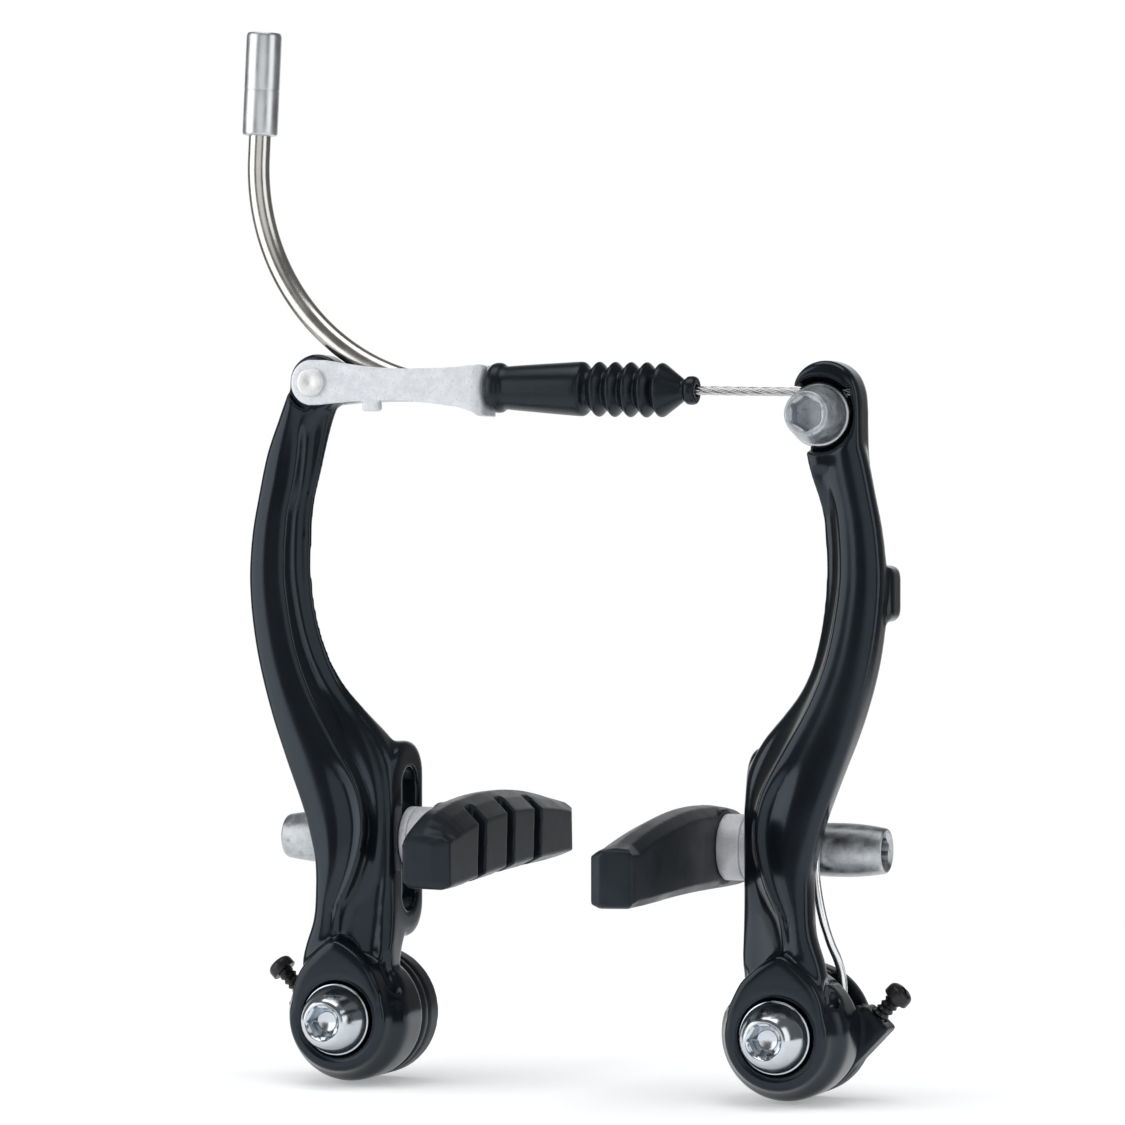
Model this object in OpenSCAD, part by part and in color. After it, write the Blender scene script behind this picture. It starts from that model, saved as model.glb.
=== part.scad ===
// V-brake (linear-pull rim brake) for a bicycle.
// X runs across the wheel, Y points back to the fork, Z is up. The origin lies midway between
// the two pivots, on the plane where the spring retainers sit against the fork's bosses.
// The right-hand side is drawn, and the left-hand side is its mirror image.

/* [Layout] */
// Distance between the two pivot axes
pivot_spacing = 80; // [78:1:86]
// Height of the cable above the pivots, midway between the arms
cable_height = 108.8; // [104:0.5:116]
// Fall of the cable towards the anchor bolt
cable_slope = 1.4; // [0:0.1:1.6]
// Depth of the cable behind the housings' front faces
cable_depth = 6.1; // [6:0.05:6.3]
// Running gap between turning or sliding faces
side_gap = 0.3; // [0.2:0.05:0.4]
// Radial gap of a shaft in its bore
shaft_gap = 0.05; // [0.03:0.01:0.08]

/* [Pivot] */
// Largest radius of the arm's pivot housing
housing_r = 11.3; // [10.8:0.1:11.6]
// Radius of the housing's front face
front_face_r = 9; // [8.6:0.1:9.4]
// Depth of the arm's pivot housing
housing_depth = 12.6; // [12:0.1:13.5]
// Radius of the recess round the bolt head
recess_r = 6.3; // [6.1:0.1:6.7]
// Depth of the recess round the bolt head
recess_depth = 3.2; // [2.8:0.1:3.6]
// Outer radius of the pivot bush
bush_r = 5; // [4.9:0.05:5.2]
// Bore radius of the pivot bush, which slides over the fork's boss
bush_bore_r = 4.05; // [4.02:0.01:4.15]
// Height of the mounting bolt's domed head
dome_height = 8.7; // [7.5:0.1:9.5]
// Thread radius of the mounting bolt
bolt_r = 3; // [2.9:0.05:3.1]
// Width across the flats of the mounting bolt's socket
bolt_hex = 5; // [4:0.5:5]

/* [Spring and retainer] */
// Outer radius of the spring retainer
retainer_r = 11.3; // [11:0.1:11.6]
// Depth of the spring retainer
retainer_depth = 6.7; // [6.5:0.1:7.5]
// Radius of the spring cavity in the retainer
cavity_r = 9; // [8.8:0.1:9.2]
// Thickness of the retainer's floor
retainer_floor = 2; // [1.6:0.1:2.1]
// Radius of the locating pin on the retainer's back
locating_pin_r = 1.3; // [1.1:0.05:1.4]
// Length of the locating pin
locating_pin_length = 5; // [4:0.5:6]
// Distance of the locating pin from the pivot axis
locating_pin_reach = 8; // [7.8:0.1:8.4]
// Radius of the spring wire
wire_r = 0.75; // [0.65:0.05:0.8]
// Mean radius of the spring coil
coil_r = 6.6; // [6.5:0.05:6.7]
// Angle of the tension screw above the horizontal
screw_angle = 46; // [44:1:48]
// Distance of the tension screw's axis from the pivot axis
screw_offset = 7.7; // [7.6:0.05:8]
// Distance of the screw lug's face along the screw's axis
lug_reach = 11.3; // [11.2:0.1:12]
// Thread radius of the tension screw
screw_r = 1.5; // [1.3:0.05:1.5]
// Length of the tension screw's thread
screw_length = 9.2; // [8:0.1:10]
// Gap under the right tension screw's head
right_screw_out = 3.9; // [3:0.1:5]
// Gap under the left tension screw's head
left_screw_out = 5; // [3:0.1:6]

/* [Arm] */
// Depth of the blade's front face behind the housing's front face
blade_set = 2; // [1.8:0.1:2.2]
// Thickness of the blade's front flange
flange_t = 5.2; // [4.6:0.1:5.4]
// Thickness of the inner wall and the slot plate
wall_t = 3.5; // [3.2:0.1:3.8]
// Distance of the slot plate's face inside the pivot axis
plate_inset = 8; // [7.8:0.1:8.2]
// Height of the pad stud above the pivots, at mid slot
stud_height = 30.6; // [30.4:0.1:31.2]
// Depth of the pad stud behind the housings' front faces
stud_depth = 14.3; // [14.1:0.1:14.6]
// Depth of the slot plate from front to back
plate_depth = 13; // [12.6:0.1:13.4]
// Height of the slot plate
plate_height = 34.4; // [34:0.2:35]
// Length of the pad slot
slot_length = 25; // [24:0.5:26]
// Gap between the pad stud and the sides of its slot
slot_gap = 0.3; // [0.2:0.05:0.4]
// Height of the spring lug on the back of the blade
lug_height = 9.6; // [9:0.1:10.5]
// Distance of the spring lug's outer edge from the pivot axis
lug_edge = 18.5; // [18.2:0.1:19]

/* [Pads] */
// Length of the pad in front of its stud, at the short end
pad_short = 16.7; // [15:0.1:18]
// Length of the pad beyond its stud, at the long end
pad_long = 46.3; // [42:0.1:48]
// Thickness of the pad
pad_t = 8.6; // [8:0.1:9]
// Radius of the arch that the pad follows
pad_arch_r = 290; // [270:5:320]
// Width of the grooves in the braking face
groove_w = 3.4; // [2.6:0.1:3.8]
// Depth of the grooves in the braking face
groove_depth = 3; // [2:0.1:3.4]
// Upward tilt of the left pad's long end
left_pad_tilt = 2.5; // [0:0.5:4]
// Radius of the pad's threaded stud
stud_r = 3; // [2.9:0.05:3.05]
// Radius of the washers between the arm and the pad
spacer_r = 5.65; // [5.5:0.05:5.9]
// Thickness of the thin washer against the arm's inner face
inner_cup_t = 1.4; // [1.2:0.1:1.6]
// Thickness of the domed spacer against the pad
inner_dome_t = 4.1; // [3.6:0.1:4.4]
// Thickness of the cupped washer behind the slot plate
outer_cup_t = 2.6; // [2.4:0.1:2.8]
// Thickness of the domed washer under the nut
outer_dome_t = 3; // [2.8:0.1:3.2]
// Radius of the outer washers
outer_washer_r = 5.9; // [5.7:0.05:6]
// Radius of the barrel nut
nut_r = 4.5; // [4.4:0.05:4.7]
// Radius of the barrel nut's outer end
nut_end_r = 3.75; // [3.5:0.05:3.9]
// Distance from the slot plate's inner face to the barrel nut's end
nut_reach = 23.2; // [22:0.2:24]
// Width across the flats of the barrel nut's socket
nut_hex = 5; // [4:0.5:5]

/* [Cable and noodle] */
// Radius of the brake cable
cable_r = 0.75; // [0.6:0.05:0.8]
// Outer radius of the noodle tube
noodle_r = 1.95; // [1.8:0.05:2]
// Radius of the noodle's bend
noodle_bend_r = 38.6; // [37:0.1:40]
// Where the noodle's bend ends, from the middle of the brake towards its left side
noodle_bend_x = 19.7; // [19:0.1:21]
// Lean of the noodle's upper end towards the brake's middle
noodle_lean = 2.8; // [1:0.1:4]
// Length of the noodle's straight upper end below the ferrule
noodle_rise = 4; // [3:0.5:8]
// Outer radius of the ferrule
ferrule_r = 3.1; // [3:0.05:3.3]
// Length of the ferrule
ferrule_length = 18; // [16:0.5:20]
// Radius of the ferrule's socket for the cable housing
socket_r = 2.55; // [2.5:0.01:2.6]
// Depth of the ferrule's socket
socket_depth = 12; // [10:0.5:13]
// Distance of the holder's rivet from the brake's middle
rivet_x = 45.4; // [45:0.1:46]
// Height of the holder's rivet above the cable
rivet_rise = 1.5; // [1.3:0.1:1.8]
// Radius of the holder's rivet
rivet_r = 2; // [1.9:0.05:2.1]
// Thickness of the holder's sheet
sheet_t = 1.2; // [1.1:0.05:1.3]
// Distance of the holder's end wall from the brake's middle
holder_end_x = 13.6; // [13.2:0.1:14]
// Outer radius of the boot's body
boot_r = 4.6; // [4.5:0.05:4.8]
// Length of the boot
boot_length = 37.5; // [36:0.5:38.5]
// Distance of the anchor bolt from the pivot axis, outwards
anchor_reach = 6.6; // [6.4:0.1:6.9]
// Radius of the anchor bolt's head
anchor_head_r = 4.9; // [4.8:0.05:5]
// Height of the anchor bolt's head
anchor_head_t = 7; // [6.4:0.1:7.4]
// Radius of the anchor washer
anchor_washer_r = 5.5; // [5.4:0.05:5.6]
// Thickness of the anchor washer
anchor_washer_t = 1.9; // [1.7:0.1:2]

/* [Hidden] */
$fn = 64;

pivot_x = pivot_spacing / 2;
// Depth of the whole pivot, from the housing's front face to the seat on the fork
stack_depth = housing_depth + side_gap + retainer_depth;
bush_front = recess_depth - side_gap;
retainer_front = housing_depth + side_gap;
// Depth of the tension screw behind the front of the retainer, so that its bore clears the floor
screw_depth = retainer_depth - retainer_floor - screw_r - 0.2;
dome_r = recess_r - 0.4;
blade_back = blade_set + flange_t;
plate_x = pivot_x - plate_inset;
slot_r = stud_r + slot_gap;
washer_bore_r = stud_r + shaft_gap;
pad_back_x = plate_x - inner_cup_t - inner_dome_t;
// Outer face of the slot plate, and the ball between the cupped and the domed washer
outer_face = plate_x + wall_t + shaft_gap;
dome_ball_r = 8;
dome_ball_drop = 6.4;
rivet_z = cable_height + rivet_rise;
boss_r = 5;
boss_front = blade_set + 1.4;
boss_back = 2 * cable_depth - boss_front;
holder_front = boss_front - side_gap - sheet_t;
holder_back = 2 * cable_depth - holder_front;
anchor_x = pivot_x + anchor_reach;
// The cable runs just above the anchor bolt's shank
anchor_z = cable_height - anchor_x * tan(cable_slope) - bolt_r - cable_r - shaft_gap;
seat_depth = cable_depth - cable_r - shaft_gap;
groove_end = anchor_x + 5.6;
tip_r = noodle_r + 0.45;
tip_end = -holder_end_x + 3.4;
noodle_bore_r = cable_r + 0.4;
// How far the noodle reaches into the ferrule
ferrule_grip = ferrule_length - socket_depth - 1;
boot_from = -holder_end_x + 0.3;
// Disc of the pad's stud, moulded into the rubber: radius, depth under the back, thickness
disc_r = 5;
disc_under = 1.7;
disc_t = 1.5;

// Rows of height and value along the blade, smoothed between the rows.
// The heights are those of a brake whose cable lies at this height.
drawn_height = 108.8;
// Height up to which the wall keeps flush with the slot plate, so that the washers clear it
plate_end = stud_height + plate_height / 2 - 2.3;
waist_height = plate_end + 4.5;
// Outer edge, measured outwards from the pivot axis
outer_edge = [[4, 8.2], [9, 8.6], [12, 7.4], [17, 5.6], [22, 5.2], [27, 5.3], [31, 6.1], [36, 7.5],
    [45, 10.9], [53, 13.7], [62, 16.1], [70, 17.4], [77, 17.8], [84, 17.3], [90, 16.2], [98, 14.4],
    [104, 12.2], [110.5, 9.7]];
// Ridge between the front face and the bevel
ridge = [[4, 1.4], [15, 1.0], [19.5, 0.3], [22, -0.9], [24.5, -2.1], [27.8, -3.3], [31, -4.1],
    [34.5, -4.3], [38.5, -3.6], [42, -2.2], [48, 1.2], [54, 4.6], [59, 6.9], [64, 8.6], [70, 9.9],
    [77.5, 10.8], [87, 10.3], [93, 9.0], [98, 8.3], [104, 7.9], [110.5, 7.2]];
// Inner edge, where the bevel ends
inner_edge = [[4, 0.6 - plate_inset], [12, 0.1 - plate_inset], [24, -plate_inset],
    [39, 0.1 - plate_inset], [44.5, -7.1], [49, -4.9], [53.5, -1.2],
    [57, 1.6], [61, 3.8], [65, 5.2], [69, 6.2], [75, 7.0], [81.5, 7.1], [89, 6.5], [96, 4.9],
    [103, 3.4], [107, 2.1], [110.5, 0.9]];
// Depth at which the bevel ends
bevel_depth = [[4, 5.0], [12, 6.4], [20, 7.4], [40, 7.6], [49, 8.3], [53.5, 8.6], [61, 7.7],
    [69, 6.4], [81.5, 5.6], [96, 4.9], [110.5, 4.9]];
// Depth of the flange's back
flange_back = [[4, blade_back - 0.6], [14, blade_back - 0.4], [20, blade_back], [43, blade_back],
    [50, blade_back + 1], [60, blade_back + 1.6], [70, blade_back + 1], [80, blade_back - 0.4],
    [90, blade_back - 1], [98, blade_back - 0.8], [110.5, blade_back - 0.6]];
// Depth of the inner wall's back edge
wall_back = [[4, 11], [10, 11.2], [14, 12.8], [18, 16.2], [22, 17.5], [40, 17.5], [45, 15.2],
    [50, 11.8], [56, 9.5], [62, 7.9], [70, 6.8], [80, 6.3], [96, 6.3], [104, 7.2], [110.5, 7.6]];
// Heights of the blade's sections
lower_stations = [4, 9, 12, 15, 18, 21, 24, 27, 30, 33, 36, 39, 42, 45, 46.2, 47.5];
middle_stations = [50, 52.5, 55, 58, 61, 65, 69, 73, 77, 81, 85, 89, 93, 96, 98];
upper_stations = [101, 104, 107, 109, 110.5];

// The spring's leg: distance outwards from the pivot, depth from the front, height
leg_route = [[7.3, 13.8, 2.4], [8.0, 13.8, 6.4], [8.2, 13.4, 9.6], [7.9, 11.9, 12.4],
    [7.2, 10.2, 15.2], [6.2, 8.9, 18.6], [5.1, 8.4, 23], [4.5, 8.3, 27.5], [4.6, 8.3, 33],
    [5.7, 8.4, 40], [7.4, 9.3, 48], [9.2, 9.9, 56], [10.6, 9.9, 64], [11.05, 9.6, 70],
    [11.05, 9.6, 79]];

// Half heights and thickness of the pad along its length: place, top, bottom, thickness
pad_rows = [[-16.7, 3.9, 2.2, 6.2], [-15.2, 5.8, 3.3, 7.4], [-12.5, 7.6, 4.6, 8.6],
    [-6, 8.3, 5.6, 8.6], [4, 8.5, 6.0, 8.6], [16, 8.2, 6.1, 8.6], [28, 7.3, 6.0, 8.6],
    [36, 6.2, 5.7, 8.6], [42, 5.1, 4.9, 8.6], [45.2, 4.4, 3.9, 7.6], [46.3, 3.6, 3.0, 6.4]];

// Outline of the anchor head, outwards from the pivot and upwards from the anchor bolt
head_outline = [[-0.9, -9.4], [-1.5, -6.6], [-2.6, -4], [-4.0, -1], [-4.6, 2.2], [-4.4, 4.9],
    [-3.5, 6.9], [-1.8, 8.4], [0.4, 9.1], [2.6, 9.0], [4.6, 8.1], [6.1, 6.6], [7.0, 4.6],
    [7.4, 2.2], [7.4, -1], [7.5, -6], [7.9, -9.4]];

// Raised front face round the bolt, outwards and upwards from the pivot
face_outline = [[-front_face_r + 0.2, 2], [-7.6, 6.4], [-6.3, 9.3], [-3.2, 11.8], [0.7, 13.5],
    [4.1, 11.5], [6.9, 8.8], [8.3, 5.6], [front_face_r - 0.2, 2]];

// Value of a smooth curve through rows of [place, value]
function row_slope(t, i) =
    i == 0 ? (t[1][1] - t[0][1]) / (t[1][0] - t[0][0])
    : i == len(t) - 1 ? (t[i][1] - t[i - 1][1]) / (t[i][0] - t[i - 1][0])
    : (t[i + 1][1] - t[i - 1][1]) / (t[i + 1][0] - t[i - 1][0]);
function row_at(t, z, i = 0) = (i >= len(t) - 2 || z < t[i + 1][0]) ? i : row_at(t, z, i + 1);
function along(t, z) =
    let (i = row_at(t, z), h = t[i + 1][0] - t[i][0], s = (z - t[i][0]) / h)
    (2 * pow(s, 3) - 3 * pow(s, 2) + 1) * t[i][1]
    + (pow(s, 3) - 2 * pow(s, 2) + s) * row_slope(t, i) * h
    + (3 * pow(s, 2) - 2 * pow(s, 3)) * t[i + 1][1]
    + (pow(s, 3) - pow(s, 2)) * row_slope(t, i + 1) * h;

// Height in this brake of a height in the rows: only the part above the waist is stretched
function placed(z) = z < waist_height ? z
    : waist_height + (z - waist_height) * (cable_height - waist_height) / (drawn_height - waist_height);

// One level section of the blade: front flange, bevel and inner wall
function blade_section(z) =
    let (
        o = along(outer_edge, z), r = along(ridge, z), i = along(inner_edge, z),
        d = along(bevel_depth, z), b = along(wall_back, z), k = along(flange_back, z),
        f = blade_set,
        // The wall keeps flush with the slot plate's outer face, then leans out with the blade
        grown = min(1, max(0.4, 0.4 + (z - plate_end) * 0.075)),
        w = max(wall_t - plate_inset, i + min(wall_t, (o - i) * 0.42) * grown)
    ) [
        [o, f + 1.4], [o - 0.1, k], [w, min(k, b - 0.05)], [w, b], [i, b], [i, d],
        [i + 0.4, d - 0.7], [(i + r) / 2 + 0.5, (d + f) / 2 + 0.6], [r - 0.25, f + 0.5],
        [r + 0.7, f], [o - 1.3, f], [o - 0.35, f + 0.4]
    ];

// Solid through rings of points. Seen from the last ring, each ring runs anticlockwise.
module loft(rings) {
    n = len(rings[0]);
    m = len(rings);
    polyhedron(
        points = [for (ring = rings) each ring],
        faces = concat(
            [for (j = [0 : m - 2], i = [0 : n - 1])
                [j * n + i, (j + 1) * n + i, (j + 1) * n + (i + 1) % n]],
            [for (j = [0 : m - 2], i = [0 : n - 1])
                [j * n + i, (j + 1) * n + (i + 1) % n, j * n + (i + 1) % n]],
            [[for (i = [0 : n - 1]) i]],
            [[for (i = [n - 1 : -1 : 0]) (m - 1) * n + i]]
        )
    );
}

// Sweep of a round wire along a route
function unit(v) = v / norm(v);
function tangent(p, i) = unit(p[min(i + 1, len(p) - 1)] - p[max(i - 1, 0)]);
function wire_ring(c, t, r, n) =
    let (a = unit(cross(t, [0, 1, 0])), b = cross(t, a))
    [for (k = [0 : n - 1]) c + r * (cos(360 * k / n) * a + sin(360 * k / n) * b)];
module wire(route, r, n = 8) {
    loft([for (i = [0 : len(route) - 1]) wire_ring(route[i], tangent(route, i), r, n)]);
}

// Places that the pieces are drawn in
// The cable's line, which falls a little towards the anchor bolt
module on_cable_line() { translate([0, cable_depth, cable_height]) rotate([0, cable_slope, 0]) children(); }
module at_cable() { from_front() on_cable_line() children(); }
module mirrored() { mirror([1, 0, 0]) children(); }
module from_front() { translate([0, -stack_depth, 0]) children(); }
module at_pivot() { from_front() translate([pivot_x, 0, 0]) children(); }
// Turned shape about an axis that points to the back: profile of [radius, depth]
module turned_y() { rotate([-90, 0, 0]) rotate_extrude() children(); }
// Turned shape about an axis that points to the right: profile of [radius, distance]
module turned_x() { rotate([0, 90, 0]) rotate_extrude() children(); }
module rod_y(r, from, to) { translate([0, from, 0]) rotate([-90, 0, 0]) cylinder(r = r, h = to - from); }
module rod_x(r, from, to) { translate([from, 0, 0]) rotate([0, 90, 0]) cylinder(r = r, h = to - from); }
// Outline across the wheel, given depth from front to back
module slab_y(from, to) { translate([0, to, 0]) rotate([90, 0, 0]) linear_extrude(to - from) children(); }
// Outline seen from the side, given width from left to right
module slab_x(from, to) { translate([from, 0, 0]) rotate([90, 0, 90]) linear_extrude(to - from) children(); }
module at_stud() { from_front() translate([0, stud_depth, stud_height]) children(); }

// Plate outline with round corners: width along the first axis, height along the second
module round_plate(w, h, r) {
    for (x = [-1, 1], y = [-1, 1]) translate([x * (w / 2 - r), y * (h / 2 - r)]) circle(r);
    square([w - 2 * r, h], center = true);
    square([w, h - 2 * r], center = true);
}

module obround(length, r) {
    for (z = [-1, 1]) translate([0, z * (length / 2 - r)]) circle(r);
    square([2 * r, length - 2 * r], center = true);
}

module arm_core(stations) {
    translate([pivot_x, 0, 0])
        loft([for (z = stations) [for (p = blade_section(z)) [p[0], p[1], placed(z)]]]);
}

// The part of the arm that both sides share: housing, raised face, blade, slot plate and lug
module arm_body(stations) {
    arm_core(stations);
    translate([pivot_x, 0, 0]) turned_y()
        polygon([[0, 0], [front_face_r - 0.5, 0], [front_face_r, 0.4], [front_face_r + 0.7, 2.4],
            [housing_r - 0.5, 4.6], [housing_r, 6.4], [housing_r, housing_depth - 1],
            [housing_r - 0.5, housing_depth], [0, housing_depth]]);
    translate([pivot_x, 0, 0]) slab_y(0, 4.4) polygon(face_outline);
    translate([0, stud_depth, stud_height]) slab_x(plate_x, plate_x + wall_t)
        round_plate(plate_depth, plate_height, plate_depth / 2 - 0.1);
    translate([pivot_x + (lug_edge + 12) / 2, 0, placed(74)]) slab_y(blade_back - 1, 12.4)
        round_plate(lug_edge - 12, lug_height, 1.6);
}

// What is cut from both arms: bolt recess, bush bore and pad slot
module arm_cuts() {
    translate([pivot_x, 0, 0]) rod_y(recess_r, -1, recess_depth);
    translate([pivot_x, 0, 0]) rod_y(bush_r + shaft_gap, -1, housing_depth + 1);
    translate([0, stud_depth, stud_height]) slab_x(plate_x - 1, plate_x + wall_t + 1)
        obround(slot_length, slot_r);
}

module left_arm() {
    color("#15171b") mirrored() from_front() difference() {
        union() {
            arm_body(concat(lower_stations, middle_stations, upper_stations));
            translate([rivet_x, 0, rivet_z]) rod_y(boss_r, boss_front, boss_back);
        }
        arm_cuts();
        translate([rivet_x, 0, rivet_z]) rod_y(rivet_r + shaft_gap, -1, boss_back + 5);
        // Room for the holder's front and back plates
        translate([rivet_x, 0, rivet_z]) slab_y(-1, boss_front) holder_room();
        translate([rivet_x, 0, rivet_z]) slab_y(boss_back, boss_back + 5) holder_room();
    }
}

module holder_room() {
    circle(boss_r + 0.5);
    translate([-14, -boss_r - 0.5]) square([14, 12]);
}

module right_arm() {
    color("#15171b") from_front() difference() {
        union() {
            arm_body(concat(lower_stations, middle_stations));
            translate([anchor_x, 0, anchor_z]) slab_y(blade_set, seat_depth + 3.4) polygon(head_outline);
        }
        arm_cuts();
        translate([anchor_x, 0, anchor_z]) rod_y(anchor_washer_r + 0.4, -1, seat_depth);
        translate([anchor_x, 0, anchor_z]) rod_y(bolt_r, -1, 20);
        on_cable_line() rod_x(cable_r + shaft_gap, pivot_x - 3, groove_end);
        on_cable_line() translate([pivot_x - 3, -cable_depth, -cable_r - shaft_gap])
            cube([groove_end - pivot_x + 3, cable_depth, 2 * (cable_r + shaft_gap)]);
    }
}

module pivot_bush_shape() {
    color("#b9bcc0") at_pivot() difference() {
        rod_y(bush_r, bush_front, stack_depth);
        rod_y(bush_bore_r, bush_front - 1, stack_depth + 1);
    }
}

module mounting_bolt_shape() {
    under = bush_front;
    top = under - dome_height;
    color("#d9dcdf") at_pivot() difference() {
        turned_y() polygon([[0, top], [3.3, top], [3.6, top + 0.25], [4.4, top + 1.4],
            [5.0, top + 2.6], [dome_r - 0.45, top + 4], [dome_r - 0.12, top + 5.6], [dome_r, top + 7],
            [dome_r, under - 0.25], [dome_r - 0.25, under], [bolt_r, under], [bolt_r, stack_depth - 3.4],
            [bolt_r - 0.6, stack_depth - 2.8], [0, stack_depth - 2.8]]);
        translate([0, top - 1, 0]) rotate([-90, 0, 0])
            cylinder(r = bolt_hex / 2 / cos(30), h = 3.6, $fn = 6);
    }
}

module along_screw() {
    rotate([0, -screw_angle, 0]) translate([0, retainer_front + screw_depth, -screw_offset]) children();
}

module spring_retainer_shape() {
    color("#1b1c1e") at_pivot() difference() {
        union() {
            turned_y() polygon([[0, retainer_front], [retainer_r - 0.4, retainer_front],
                [retainer_r, retainer_front + 0.4], [retainer_r, retainer_front + 1.6],
                [retainer_r - 0.35, retainer_front + 1.9], [retainer_r - 0.35, retainer_front + 2.5],
                [retainer_r, retainer_front + 2.8], [retainer_r, stack_depth - 0.5],
                [retainer_r - 0.5, stack_depth], [0, stack_depth]]);
            along_screw() translate([2, 0.2 - screw_depth, -3.2]) cube([lug_reach - 2, 5.7, 5.9]);
            translate([locating_pin_reach, 0, 0])
                rod_y(locating_pin_r, stack_depth - 1, stack_depth + locating_pin_length);
        }
        rod_y(bush_r, 0, stack_depth + 1);
        rod_y(cavity_r, 0, stack_depth - retainer_floor);
        along_screw() rod_x(screw_r + shaft_gap, 0, lug_reach + 1);
        // Slot in the wall for the spring's leg, which stops short of the floor
        rotate([0, -42, 0]) translate([6, 0, -3.4]) cube([8, stack_depth - retainer_floor - 0.4, 7]);
    }
}

module return_spring_shape() {
    turns = 600;
    steps = 34;
    first = retainer_front + wire_r + 2.9;
    last = retainer_front + 0.9;
    coil = [for (i = [0 : steps]) let (a = -14 - turns + turns * i / steps)
        [coil_r * cos(a), first + (last - first) * i / steps, coil_r * sin(a)]];
    lift = last - 13.8;
    leg = [for (i = [0 : len(leg_route) - 1]) let (p = leg_route[i])
        [p[0], p[1] + (i < 3 ? lift : 0), i > 9 ? placed(p[2]) : p[2]]];
    color("#c4c7ca") at_pivot() wire(concat(coil, leg), wire_r);
}

module tension_screw_shape(gap) {
    head_at = lug_reach + gap;
    color("#17181a") at_pivot() along_screw() difference() {
        union() {
            rod_x(screw_r, head_at - screw_length, head_at + 0.1);
            translate([head_at, 0, 0]) turned_x()
                polygon([[0, 0], [2.2, 0], [2.4, 0.25], [2.4, 1.5], [1.9, 2.1], [0, 2.5]]);
        }
        for (a = [45, 135]) translate([head_at + 1.2, 0, 0]) rotate([a, 0, 0])
            translate([0, -1.3, -0.28]) cube([2, 2.6, 0.56]);
    }
}

// One section across the pad: its back lies at zero, its braking face towards the wheel
function pad_section(row) =
    let (s = row[0] < 0 ? row[0] * pad_short / 16.7 : row[0] * pad_long / 46.3,
        c = -1 - pow(s - 15, 2) / (2 * pad_arch_r), t = row[3] * pad_t / 8.6)
    [for (q = [[0, row[1] - 0.6], [-0.9, row[1]], [-t * 0.5, row[1] - 0.3], [-t, row[1] * 0.58],
        [-t, -row[2] * 0.78], [-t * 0.62, -row[2]], [-1.6, -row[2] + 0.9], [0, -row[2] + 2]])
        [q[0], -s, c + q[1]]];

module pad_block() {
    difference() {
        union() {
            loft([for (row = pad_rows) pad_section(row)]);
            rod_x(spacer_r + 0.9, -2, 0);
        }
        for (s = [-1.2, 12.2, 25.2]) translate([-pad_t, -s, -1]) rotate([6, 0, 0])
            translate([-1, -groove_w / 2, -14]) cube([groove_depth + 1, groove_w, 28]);
        rod_x(stud_r, -4, 3);
        rod_x(disc_r, -disc_under - disc_t, -disc_under);
    }
}

// The same pad serves both sides: turned half round for the left, so its long end points back
module right_pad_place() { at_stud() translate([pad_back_x, 0, 0]) children(); }
module left_pad_place() {
    at_stud() translate([-pad_back_x, 0, 0]) rotate([left_pad_tilt, 0, 0]) rotate([0, 0, 180]) children();
}

// Stud with its backing disc, moulded into the pad; its thread runs outwards
module stud_shape() {
    reach = nut_reach - 6.5 + plate_x - pad_back_x;
    rod_x(stud_r, -4, reach);
    rod_x(disc_r, -disc_under - disc_t, -disc_under);
}

module inner_cup_washer_shape() {
    color("#c9ccd0") at_stud() difference() {
        rod_x(spacer_r, plate_x - inner_cup_t, plate_x - shaft_gap);
        rod_x(washer_bore_r, plate_x - inner_cup_t - 1, plate_x + 1);
    }
}

module inner_dome_spacer_shape() {
    color("#d3d5d8") at_stud() difference() {
        translate([pad_back_x, 0, 0]) turned_x()
            polygon([[0, 0], [spacer_r - 0.2, 0], [spacer_r, 0.2], [spacer_r, inner_dome_t - 0.3],
                [spacer_r - 0.3, inner_dome_t], [0, inner_dome_t]]);
        rod_x(washer_bore_r, pad_back_x - 1, plate_x + 1);
    }
}

module outer_cup_washer_shape() {
    color("#c9ccd0") at_stud() difference() {
        rod_x(outer_washer_r, outer_face, outer_face + outer_cup_t);
        translate([outer_face + outer_cup_t + dome_ball_drop, 0, 0]) sphere(dome_ball_r);
        rod_x(washer_bore_r, outer_face - 1, outer_face + 6);
    }
}

module outer_dome_washer_shape() {
    ball_x = outer_face + outer_cup_t + dome_ball_drop;
    color("#d3d5d8") at_stud() difference() {
        union() {
            intersection() {
                translate([ball_x, 0, 0]) sphere(dome_ball_r - shaft_gap);
                rod_x(outer_washer_r - 1.4, outer_face, outer_face + outer_cup_t + 1);
            }
            translate([outer_face + outer_cup_t, 0, 0]) rod_x(outer_washer_r - 0.3, 0.4, outer_dome_t);
        }
        rod_x(washer_bore_r, outer_face - 1, outer_face + 12);
    }
}

module barrel_nut_shape() {
    from = outer_face + outer_cup_t + outer_dome_t;
    to = plate_x + nut_reach;
    color("#aeb2b6") at_stud() difference() {
        translate([from, 0, 0]) turned_x()
            polygon([[0, 0], [nut_r + 0.5, 0], [nut_r + 0.5, 1.2], [nut_r, 1.6],
                [nut_r, to - from - 5], [nut_end_r + 0.15, to - from - 0.4],
                [nut_end_r - 0.2, to - from], [0, to - from]]);
        rod_x(washer_bore_r, from - 1, to - 6);
        translate([to - 4.5, 0, 0]) rotate([0, 90, 0]) cylinder(r = nut_hex / 2 / cos(30), h = 6, $fn = 6);
    }
}

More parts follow.
